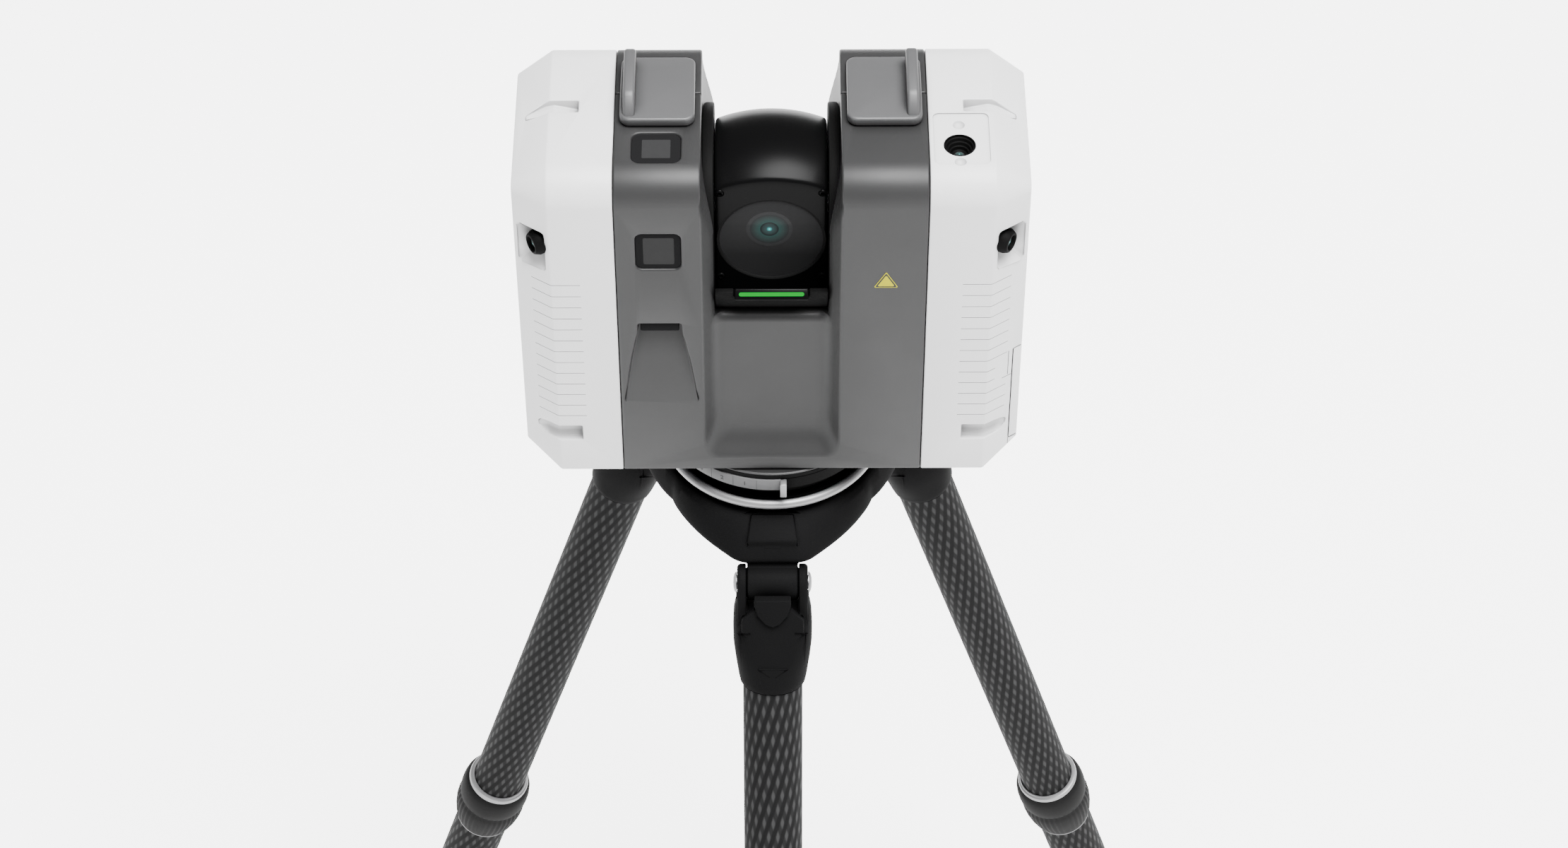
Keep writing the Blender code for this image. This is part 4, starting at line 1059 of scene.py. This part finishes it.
def rotor_window():
    """Round glass, sunk in its seat, with the lens behind its middle, its teal glow a painted reflection.
    """
    radius = window_radius()
    face = FLAT_Y + 0.8 * MM
    glass = as_object("rotor_glass", moved(disc_mesh(radius, (face, FLAT_Y + 2 * MM), 96), along("Y")))
    settle(glass, ROTOR, "rotor", WINDOW, ["rotor_window"])
    ring = turned_mesh([
        (radius + 0.15 * MM, 0.05 * MM), (radius + 0.15 * MM, 1.2 * MM), (radius - 1.1 * MM, 1.2 * MM),
        (radius - 1.1 * MM, 0.65 * MM), (radius - 0.6 * MM, 0.2 * MM),
    ], 96)
    seal = as_object("rotor_glass_seal", moved(ring, Matrix.Translation((0, FLAT_Y, 0)) @ along("Y")))
    settle(seal, ROTOR, "rotor", RUBBER)
    lens_r = 11 * MM
    middle = Vector((-0.9 * MM, face - 0.06 * MM, 6.4 * MM))
    lens = turned_mesh([(0, 0)] + [(lens_r * i / 24, 0) for i in range(1, 25)]
                       + [(lens_r, 0.5 * MM), (0, 0.5 * MM)], 96)
    made = as_object("rotor_lens", moved(lens, along("Y", middle)))
    # painted reflection: the lens finish paints teal rings outward from this middle
    add_reach(made, middle, lens_r)
    settle(made, ROTOR, "rotor", LENS)


def rotor_screws():
    """Four socket screws round the window."""
    for index, (x, z) in enumerate(screw_spots()):
        profile = mm((0, 0.8), (1, 0.8), (1.05, -0.5), (1.5, -0.3), (1.95, 0.3), (2, 0.9), (0, 0.9))
        screw = as_object("rotor_screw_%d" % (index + 1), moved(turned_mesh(profile, 32),
                                                                along("Y", (x, FLAT_Y, z))))
        settle(screw, ROTOR, "rotor", HOUSING)


def cheeks():
    """Black discs on the towers' inner walls, beside the rotor."""
    for name, side in SIDES.items():
        span = tuple(sorted((side * 26.9 * MM, side * 32.4 * MM)))
        made = as_object(name + "_cheek", moved(disc_mesh(48.4 * MM, span, 128), along("X")))
        far = 0.1
        cut(
            made, box_mesh((-far, far), (-far, -43.7 * MM), (-far, far)),
            box_mesh((-far, far), (43.7 * MM, far), (-far, far)),
            moved(disc_mesh(9.4 * MM, (-far, far), 48), along("X")),
        )
        rounded(made, 0.7 * MM, 3)
        settle(made, ROTOR, "head", BLACK)


def cradle():
    """Black trough under the rotor with the light bar's seat in its lip."""
    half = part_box("rotor_cradle")[1].x
    outer = 49.5 * MM
    inner = 46.2 * MM
    drop = 12.5 * MM
    outer_lip = math.degrees(math.asin(drop / outer))
    inner_lip = math.degrees(math.asin(drop / inner))
    outline = arc((0, 0), outer, 180 + outer_lip, 360 - outer_lip, 48)
    outline += arc((0, 0), inner, 360 - inner_lip, 180 + inner_lip, 48)
    made = as_object("cradle_trough", prism_mesh(outline, (-half, half), "YZ"))
    seat = moved(box_mesh(mm(-17.8, 17.8), mm(-2.2, 1.8), mm(-3.1, 3.1)), bar_place())
    cut(made, seat)
    rounded(made, 0.6 * MM, 2)
    settle(made, ROTOR, "head", BLACK, ["rotor_cradle"])


def bar_place():
    low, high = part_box("light_bar")
    middle = (low + high) / 2 - ROTOR_AT
    return Matrix.Translation((0, middle.y, middle.z)) @ Matrix.Rotation(math.radians(-44), 4, "X")


def light_bar():
    """Housing of the status light, and its lit strip."""
    case = as_object("light_bar_case", box_mesh(mm(-17.4, 17.4), mm(-1.5, 1.5), mm(-2.8, 2.8)))
    rounded(case, 0.7 * MM, 3)
    settle(case, ROTOR @ bar_place(), "head", HOUSING, ["light_bar"])
    strip = round_rect(mm(-15.4, 15.4), mm(-0.95, 0.95), 0.94 * MM)
    lit = as_object("light_bar_strip", prism_mesh(strip, mm(-1.65, -0.5), "XZ"))
    settle(lit, ROTOR @ bar_place(), "head", LIGHT)


# ---- under the scanner -----------------------------------
def base_plate():
    """Fixed round base: a grey plate over a black band."""
    profile = mm((0, 30), (13.8, 30), (13.8, -0.9), (54, -0.9), (54.6, -1.3), (54.6, -1.9), (0, -1.9))
    turned("base_plate", profile, 128, "tripod", GREY, ["azimuth_base"])
    profile = mm((0, -1.8), (53.6, -1.8), (54.8, -2.2), (54.8, -4.2), (0, -4.2))
    turned("base_band", profile, 128, "tripod", BLACK)


def band_mesh(inner, outer, z, start, end, steps=72):
    """A part of a ring between two angles, in degrees."""
    rings = []
    for step in range(steps + 1):
        angle = math.radians(start + (end - start) * step / steps)
        c, s = math.cos(angle), math.sin(angle)
        rings.append([(inner * c, inner * s, z[0]), (outer * c, outer * s, z[0]),
                      (outer * c, outer * s, z[1]), (inner * c, inner * s, z[1])])
    return loft_mesh(rings)


SCALE_START = 262
DIGIT_START = 268.2
SCALE_PITCH = 12.4


def lock_ring():
    """Turning ring: black core, pale scale band with marks and numbers, and its tab."""
    top = -4.7 * MM
    profile = [(38.2 * MM, top), (54 * MM, top), (54.4 * MM, top - 0.5 * MM), (54.4 * MM, -11.9 * MM),
               (53.9 * MM, -12.3 * MM), (38.2 * MM, -12.3 * MM)]
    turned("lock_ring_core", profile, 128, "ring", BLACK, ["lock_ring"])
    band = as_object("lock_ring_band", band_mesh(53.8 * MM, 55.3 * MM, (-12 * MM, top - 0.2 * MM), 188,
                                                 274.5))
    rounded(band, 0.25 * MM, 2)
    settle(band, HEAD, "ring", SCALE)
    tab = as_object("lock_ring_tab", box_mesh(mm(3.9, 7.1), mm(-58.3, -53), mm(-14.2, -5.2)))
    rounded(tab, 0.5 * MM, 3)
    settle(tab, HEAD, "ring", SILVER)
    for index in range(6):
        angle = math.radians(SCALE_START - SCALE_PITCH * index)
        mark = box_mesh(mm(55, 55.36), mm(-0.09, 0.09), mm(-11.6, -5.4))
        settle(as_object("scale_mark_%d" % index, moved(mark, Matrix.Rotation(angle, 4, "Z"))),
               HEAD, "ring", INK)
    for number in range(1, 6):
        scale_number(number, math.radians(DIGIT_START - SCALE_PITCH * number))


def scale_number(number, angle):
    """One small digit of the scale, as a mesh."""
    curve = bpy.data.curves.new("digit_curve", "FONT")
    curve.body = str(number)
    curve.size = 3.6 * MM
    curve.align_x = "CENTER"
    curve.extrude = 0.08 * MM
    curve.offset = 0.06 * MM
    text = bpy.data.objects.new("digit", curve)
    bpy.context.scene.collection.objects.link(text)
    bpy.context.view_layer.update()
    graph = bpy.context.evaluated_depsgraph_get()
    mesh = bpy.data.meshes.new_from_object(text.evaluated_get(graph))
    bpy.data.objects.remove(text)
    made = bpy.data.objects.new("scale_number_%d" % number, mesh)
    bpy.context.scene.collection.objects.link(made)
    upright = Matrix.Rotation(math.pi / 2, 4, "Z") @ Matrix.Rotation(math.pi / 2, 4, "X")
    place = Matrix.Rotation(angle, 4, "Z") @ Matrix.Translation(mm(55.32, 0, -9.8)) @ upright
    settle(made, HEAD @ place, "ring", INK)


def adapter():
    """Black adapter between the scanner and the tripod's platform."""
    profile = mm((0, -4.9), (37, -4.9), (37, -12.6), (48, -12.7), (49, -13.8), (49, -19.5), (48.3, -20.6),
                 (0, -20.6))
    turned("adapter_body", profile, 128, "tripod", BLACK, ["tripod_adapter"])


# ---- tripod head -----------------------------------------
def platform():
    """Black dish with a bright bead round its rim."""
    dish = mm((0, -21), (43, -21), (45, -24.6), (50.4, -25), (50.6, -22.2), (51.4, -22), (51.4, -27),
              (54, -28), (30, -31), (6.5, -31), (6.5, -24), (0, -24))
    turned("platform_dish", dish, 128, "tripod", ALLOY, ["tripod_platform"])
    bead = arc(mm(53.5, -24), 2.5 * MM, 90, -90, 10) + arc(mm(53.5, -24), 2.1 * MM, -90, -270, 10)
    turned("platform_bead", bead, 160, "tripod", SILVER)


HINGE_YZ = mm(-75, -58)
EAR_INNER = 13.2 * MM


def crown_radius(angle):
    """Radius of the crown's outline at an angle from an arm, in degrees, up to 60."""
    bulge = math.sin(math.pi * min(max((angle - 10) / 50, 0), 1))
    waist = (58.2 + 3.4 * bulge) * MM
    lean = 50.8
    end = 72.5 * MM / math.cos(math.radians(angle))
    return softer(waist / math.cos(math.radians(min(angle - lean, 0))), end, 4 * MM)


def crown():
    """Crown casting: a dished skirt that sweeps out into three arms."""
    steps = 216
    levels = (
        (0, 30, -30.9), (0, 50, -29.5), (0, 55.5, -30.2), (0.35, 56.5, -32.5), (0.75, 57, -38.5),
        (0.95, 57, -43), (1, 57, -45), (0.97, 57, -47.4), (0.5, 48, -50), (0, 34, -54), (0, 27.6, -62),
    )
    rings = []
    for share, circle, z in levels:
        circle, z = mm(circle, z)
        ring = []
        for step in range(steps):
            angle = 360 * step / steps
            off = abs((angle + 60) % 120 - 60)
            reach = circle + (crown_radius(off) - circle) * share
            turn = math.radians(angle - 90)
            ring.append((reach * math.cos(turn), reach * math.sin(turn), z))
        rings.append(ring)
    made = as_object("crown_casting", loft_mesh(rings))
    barrel = arc(HINGE_YZ, 8.9 * MM, 270, 100, 24)
    arm = mm((-30, -40), (-30, -65.5)) + barrel + mm((-72.4, -49.6), (-72, -48.2), (-66, -42.6), (-58, -36))
    for name in LEGS:
        pad = loft_mesh([
            [(x * half, -reach, z) for x, z in ((-1, top), (1, top), (1, -44 * MM), (-1, -44 * MM))]
            for half, reach, top in mm((10.6, 55, -29.6), (11.4, 62, -31), (12.4, 68.6, -34.8))
        ])
        washer = moved(disc_mesh(7 * MM, mm(-13, 13), 40), along("X", (0, *HINGE_YZ)))
        for tool in (prism_mesh(arm, mm(-12.6, 12.6), "YZ"), pad, washer):
            join(made, moved(tool, leg_turn(name)))
    rounded(made, 0.9 * MM, 3, 30)
    settle(made, HEAD, "tripod", ALLOY, ["tripod_shoulder"])


def clamp_knob():
    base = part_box("clamp_knob")[0].z - HEAD_AT.z
    profile = [(0, -24.5 * MM), (5.8 * MM, -24.5 * MM), (5.8 * MM, -67 * MM), (14 * MM, -68 * MM),
               (19 * MM, -70 * MM),
               (21 * MM, -74 * MM), (21 * MM, -84 * MM), (19 * MM, -87.5 * MM), (14 * MM, base), (0, base)]

    def scallop(angle, radius, height):
        deep = 1.6 * MM if radius > 18 * MM else 0
        return radius - deep * (0.5 - 0.5 * math.cos(9 * angle)) ** 3

    turned("clamp_knob_grip", profile, 144, "knob", RUBBER, ["clamp_knob"], HEAD, scallop)


# ---- legs ------------------------------------------------
def leg_turn(name):
    """Turn about the head's axis that takes the front leg's place to this leg's."""
    x, y, _ = JOINTS["leg_%s_fold" % name]["axis"]
    return Matrix.Rotation(math.atan2(y, x), 4, "Z")


def leg_matrix(name):
    """The leg's frame: origin on its hinge, X along the hinge, Z up the leg."""
    fold = JOINTS["leg_%s_fold" % name]
    across = Vector(fold["axis"]).normalized()
    up = Vector(JOINTS["leg_%s_slide" % name]["axis"]).normalized()
    back = up.cross(across)
    matrix = Matrix((across, back, up)).transposed().to_4x4()
    matrix.translation = Vector(fold["pos_m"])
    return matrix


LOCK_TOP = 384 * MM
WEAVE_PERIOD = 17 * MM
WEAVE_AROUND = 20
LEG_LENGTH = JOINTS["leg_front_fold"]["pos_m"][2] / JOINTS["leg_front_slide"]["axis"][2]


def tube(name, outer, inner, span, matrix, body, node):
    """Carbon tube with a map that counts the weave round and along it."""
    profile = [(outer - 0.3 * MM, span[1]), (outer, span[1] - 0.3 * MM), (outer, span[0] + 0.3 * MM),
               (outer - 0.3 * MM, span[0]), (inner, span[0]), (inner, span[1])]
    made = as_object(name, turned_mesh(profile, 96))
    layer = made.data.uv_layers.new(name="round_and_along")
    for face in made.data.polygons:
        middle = math.atan2(face.center.y, face.center.x)
        for index in face.loop_indices:
            spot = made.data.vertices[made.data.loops[index].vertex_index].co
            angle = math.atan2(spot.y, spot.x)
            angle += TAU * round((middle - angle) / TAU)
            layer.data[index].uv = (WEAVE_AROUND * angle / TAU, spot.z / WEAVE_PERIOD)
    settle(made, matrix, body, CARBON, [node])


def section(half_x, half_y, z, power=4.0, steps=64, shift=0.0):
    """A squarish outline round the leg's axis: power 2 is an ellipse."""
    ring = []
    for step in range(steps):
        angle = TAU * step / steps
        c, s = math.cos(angle), math.sin(angle)
        x = half_x * math.copysign(abs(c) ** (2 / power), c)
        y = half_y * math.copysign(abs(s) ** (2 / power), s)
        ring.append((x, y + shift, z))
    return ring


def bracket(name, matrix):
    """Leg bracket: two ears, a sleeve that tapers to the tube and a plain shield at the hinge."""
    sizes = ((17.7, 8, 7, 3), (18.2, 12, 10, 3.4), (18.9, 14.6, 13, 3.6), (19.5, 16.4, 16.4, 3.4),
             (19.8, 17.6, 23, 3.2), (19.7, 18.1, 31, 3),
             (18.9, 17.9, 39, 2.7), (17.9, 17.3, 47, 2.3), (17.1, 16.9, 53, 2), (16.5, 16.5, 56, 2),
             (15.6, 15.6, 57.2, 2))
    made = as_object("bracket_" + name, loft_mesh([
        section(x * MM, y * MM, -drop * MM, power) for x, y, drop, power in sizes]))
    ear = arc((0, 0), 9.3 * MM, 0, 180, 20) + mm((-11, -9), (-13.6, -22), (13.6, -22), (11, -9))
    for side in (-1, 1):
        rings = []
        for x, grow in ((13.2, 0), (16.4, 0), (17.6, -1.2)):
            rings.append([(side * x * MM, y * (1 + grow * 0.1), z * (1 + grow * 0.1) if z > 0 else z) for y,
                          z in ear])
        join(made, loft_mesh(rings))
    cut(made, box_mesh((-EAR_INNER, EAR_INNER), (-12.2 * MM, 0.03), (-13.5 * MM, 0.03)))
    wall = mm((-15.4, -13), (-8.8, -6.4), (8.8, -6.4), (15.4, -13), (15.4, -20), (-15.4, -20))
    join(made, prism_mesh(wall, mm(-16.4, -12.4), "XZ"))
    shield = mm((-9.1, -0.2), (-9.1, -3.5), (-7.6, -9), (-3.4, -14), (0, -15.6), (3.4, -14), (7.6, -9),
                (9.1, -3.5), (9.1, -0.2))
    tab = loft_mesh([[(x * grow, y * MM, z) for x, z in shield] for y, grow in ((-12.4, 1), (-17.4, 1),
                                                                                (-18.2, 0.93))])
    join(made, tab)
    panel = mm((-9.6, -6.5), (-16, -11), (-16, -26), (-12, -37), (-7, -41), (7, -41), (12, -37), (16, -26),
               (16, -11), (9.6, -6.5), (9.6, -12), (0, -17.4), (-9.6, -12))
    bore = turned_mesh(mm((0, -52), (15.2, -52), (15.2, -70), (0, -70)), 64)
    cut(made, prism_mesh(panel, mm(-30, -16.9), "XZ"), bore)
    rounded(made, 0.6 * MM, 3, 30)
    settle(made, matrix, "leg_" + name, ALLOY, ["leg_bracket_" + name])


def hinge_bolt(name, matrix):
    """Bolt with a domed head at each end."""
    low, high = mm(17.9, 19.6)
    shank = [(0, low), (3.5 * MM, low), (3.5 * MM, -low), (0, -low)]
    made = as_object("bolt_" + name, moved(turned_mesh(shank, 32), along("X")))
    heads = []
    for side in (-1, 1):
        head = [(0, high), (2.6 * MM, high - 0.15 * MM), (4.3 * MM, high - 0.6 * MM),
                (5.3 * MM, high - 1.4 * MM),
                (5.3 * MM, low - 0.1 * MM), (0, low - 0.1 * MM)]
        turn = Matrix.Rotation(side * math.pi / 2, 4, "Y")
        heads.append(as_object("head", moved(turned_mesh(head, 48), turn)))
    merged(made, heads)
    settle(made, matrix, "leg_" + name, STEEL, ["hinge_bolt_" + name])


def twist_lock(name, matrix):
    """Ribbed rubber collar under a bright ring.  Its ribs narrow its bore as well."""
    top = LOCK_TOP
    ring = [(15.3 * MM, 0), (16 * MM, 0), (16.5 * MM, 0.7), (17.3 * MM, 1.1), (17.7 * MM, 1.8),
            (17.8 * MM, 3.4), (15.4 * MM, 3.4)]
    band = as_object("lock_band_" + name, turned_mesh([(r, -top - t * MM) for r, t in ring], 96))
    settle(band, matrix, "lock_" + name, SILVER)
    outline = ((15.4, 3.5), (18, 3.5), (18.9, 4.6), (19.7, 7), (20.2, 11), (20.3, 15), (20.1, 18.5),
               (19.6, 20.6),
               (19.6, 21.6), (20.1, 23.4), (20.3, 27), (20, 32), (19.3, 37), (18.2, 42), (16.9, 46),
               (16.5, 46.6), (16, 46.6),
               (16, 30))
    grip = [(r * MM, -top - t * MM) for r, t in outline]

    def rib(angle, radius, height):
        depth = -(height + top)
        if not 21 * MM < depth < 44 * MM:
            return radius
        return radius - 0.4 * MM * (0.5 + 0.5 * math.cos(40 * angle))

    made = as_object("lock_grip_" + name, turned_mesh(grip, 320, rib))
    settle(made, matrix, "lock_" + name, RUBBER, ["twist_lock_" + name], 50)
    line = turned_mesh([(15.9 * MM, -top - 46.6 * MM), (16.6 * MM, -top - 46.6 * MM),
                        (16.6 * MM, -top - 47 * MM),
                        (15.9 * MM, -top - 47 * MM)], 96)
    settle(as_object("lock_line_" + name, line), matrix, "lock_" + name, SILVER)


def foot(name, matrix):
    """Rubber foot with rings round it, cut level at the floor."""
    top = LEG_LENGTH - 34 * MM
    profile = [(0, -top + 20 * MM), (14.4 * MM, -top + 20 * MM), (14.4 * MM, -top - 0.4 * MM),
               (16.9 * MM, -top - 0.4 * MM),
               (17.5 * MM, -top - 1.2 * MM)]
    for step in range(4):
        base = top + (4 + 4 * step) * MM
        wide = (18.2 - 0.8 * step) * MM
        profile += [(wide, -base), (wide, -base - 2.4 * MM), (wide - 0.9 * MM, -base - 2.8 * MM),
                    (wide - 0.9 * MM, -base - 3.6 * MM)]
    profile += [(14 * MM, -LEG_LENGTH + 10 * MM), (13.2 * MM, -LEG_LENGTH - 8 * MM),
                (0, -LEG_LENGTH - 8 * MM)]
    made = as_object("foot_" + name + "_rubber", turned_mesh(profile, 96))
    floor = box_mesh((-0.5, 0.5), (-0.5, 0.5), (-0.2, 0.0))
    cut(made, moved(floor, matrix.inverted()))
    settle(made, matrix, "lower_leg_" + name, RUBBER, ["foot_" + name])


def legs():
    for name in LEGS:
        matrix = leg_matrix(name)
        bracket(name, matrix)
        hinge_bolt(name, matrix)
        tube("upper_carbon_" + name, 15 * MM, 13.2 * MM, mm(-480, -20.5), matrix,
             "leg_" + name, "upper_tube_" + name)
        tube("lower_carbon_" + name, 15.7 * MM, 15.3 * MM, (-LEG_LENGTH + 34 * MM, -404.7 * MM), matrix,
             "lower_leg_" + name, "lower_tube_" + name)
        twist_lock(name, matrix)
        foot(name, matrix)


# ---- CAD nodes that stay, with better finishes -----------
def finish_kept_nodes():
    kept = {
        "battery_grey": (BATTERY, ["left_battery", "right_battery"]),
        "steel": (STEEL, ["azimuth_bearing", "rotor_bearing_left", "rotor_bearing_right",
                          "rotor_shaft_left",
                          "rotor_shaft_right"]),
        "dark_alloy": (CAST, ["chassis", "rotor_motor"]),
        "port": (ALLOY, ["service_port"]),
        "laser": (CAST, ["laser_module"]),
        "board": (BOARD, ["main_board"]),
        "mirror": (STEEL, ["scan_mirror"]),
        "glass": (GLASS, ["encoder_disc"]),
    }
    for finish, names in kept.values():
        for name in names:
            node = frame["nodes"][name]
            node.data.materials.clear()
            node.data.materials.append(finish)


# ---- stage -----------------------------------------------
FLOOR_SIZE = 24
FLOOR_GLOW = 1.9
WORLD_STRENGTH = 0.5
SUN_STRENGTH = 12.5
SUN_ANGLE = 38
SUN_FROM = (0.2, -0.2, 0.95)
AIM_HEIGHT = 0.12
LAMP_SIZE = 0.5
TOP_LAMP_AT = (0.1, -0.1, 1.7)
TOP_LAMP_WATTS = 17
SIDE_LAMP_AT = (1.3, -0.9, 1.7)
SIDE_LAMP_WATTS = 6


def stage():
    """A plain pale floor that gives off light, for a background as pale as the photograph's."""
    bpy.ops.mesh.primitive_plane_add(size=FLOOR_SIZE, location=(0, 0, 0))
    floor = bpy.context.object
    floor.name = "floor"
    nodes = Nodes("floor")
    nodes.color(nodes.blend(nodes.noise(3), (0.93, 0.93, 0.93), (0.95, 0.95, 0.95)))
    nodes.set(Roughness=0.9, Emission_Color=(1, 1, 1, 1), Emission_Strength=FLOOR_GLOW)
    floor.data.materials.append(nodes.material)


def area_light(name, at, target, size, power):
    light = bpy.data.lights.new(name, "AREA")
    light.shape = "DISK"
    light.size = size
    light.energy = power
    made = bpy.data.objects.new(name, light)
    made.location = at
    made.rotation_euler = (Vector(target) - Vector(at)).to_track_quat("-Z", "Y").to_euler()
    bpy.context.scene.collection.objects.link(made)


def lights():
    world = bpy.data.worlds.new("studio")
    bpy.context.scene.world = world
    world.use_nodes = True
    background = world.node_tree.nodes["Background"]
    background.inputs["Color"].default_value = (1, 1, 1, 1)
    background.inputs["Strength"].default_value = WORLD_STRENGTH
    sun = bpy.data.lights.new("key", "SUN")
    sun.energy = SUN_STRENGTH
    sun.angle = math.radians(SUN_ANGLE)
    key = bpy.data.objects.new("key", sun)
    key.rotation_euler = Vector(SUN_FROM).to_track_quat("Z", "Y").to_euler()
    bpy.context.scene.collection.objects.link(key)
    middle = tuple(HEAD_AT + Vector((0, 0, AIM_HEIGHT)))
    area_light("top", TOP_LAMP_AT, middle, LAMP_SIZE, TOP_LAMP_WATTS)
    area_light("side", SIDE_LAMP_AT, middle, LAMP_SIZE, SIDE_LAMP_WATTS)


LENS_LENGTH = 88.5
SENSOR_WIDTH = 36
EYE_FROM_HEAD = Vector((0, -1.3434, 1.3870))
LOOK_DOWN = 46.377
LOOK_ASIDE = -0.259


def camera():
    """At the photograph's viewing angle: 46.4 degrees down, nearly in line with the rotor."""
    lens = bpy.data.cameras.new("camera")
    lens.lens = LENS_LENGTH
    lens.sensor_width = SENSOR_WIDTH
    made = bpy.data.objects.new("camera", lens)
    made.location = HEAD_AT + EYE_FROM_HEAD
    made.rotation_euler = (math.radians(90 - LOOK_DOWN), 0, math.radians(LOOK_ASIDE))
    bpy.context.scene.collection.objects.link(made)
    bpy.context.scene.camera = made


# ---- assembly --------------------------------------------
camera()
stage()
lights()
for side_name, side_sign in SIDES.items():
    side_cover(side_name, side_sign)
    battery_cap(side_name, side_sign)
grey_cover("front_cover", -1)
grey_cover("rear_cover", 1)
side_door()
camera_window("hdr_top_glass", "hdr_camera_top", "top")
camera_window("hdr_front_glass", "hdr_camera_front", "front")
low_camera()
corner_cameras()
sky_camera()
warning_triangle()
touchscreen()
power_button()
rotor_housing()
rotor_window()
rotor_screws()
cheeks()
cradle()
light_bar()
base_plate()
lock_ring()
adapter()
platform()
crown()
clamp_knob()
legs()
finish_kept_nodes()
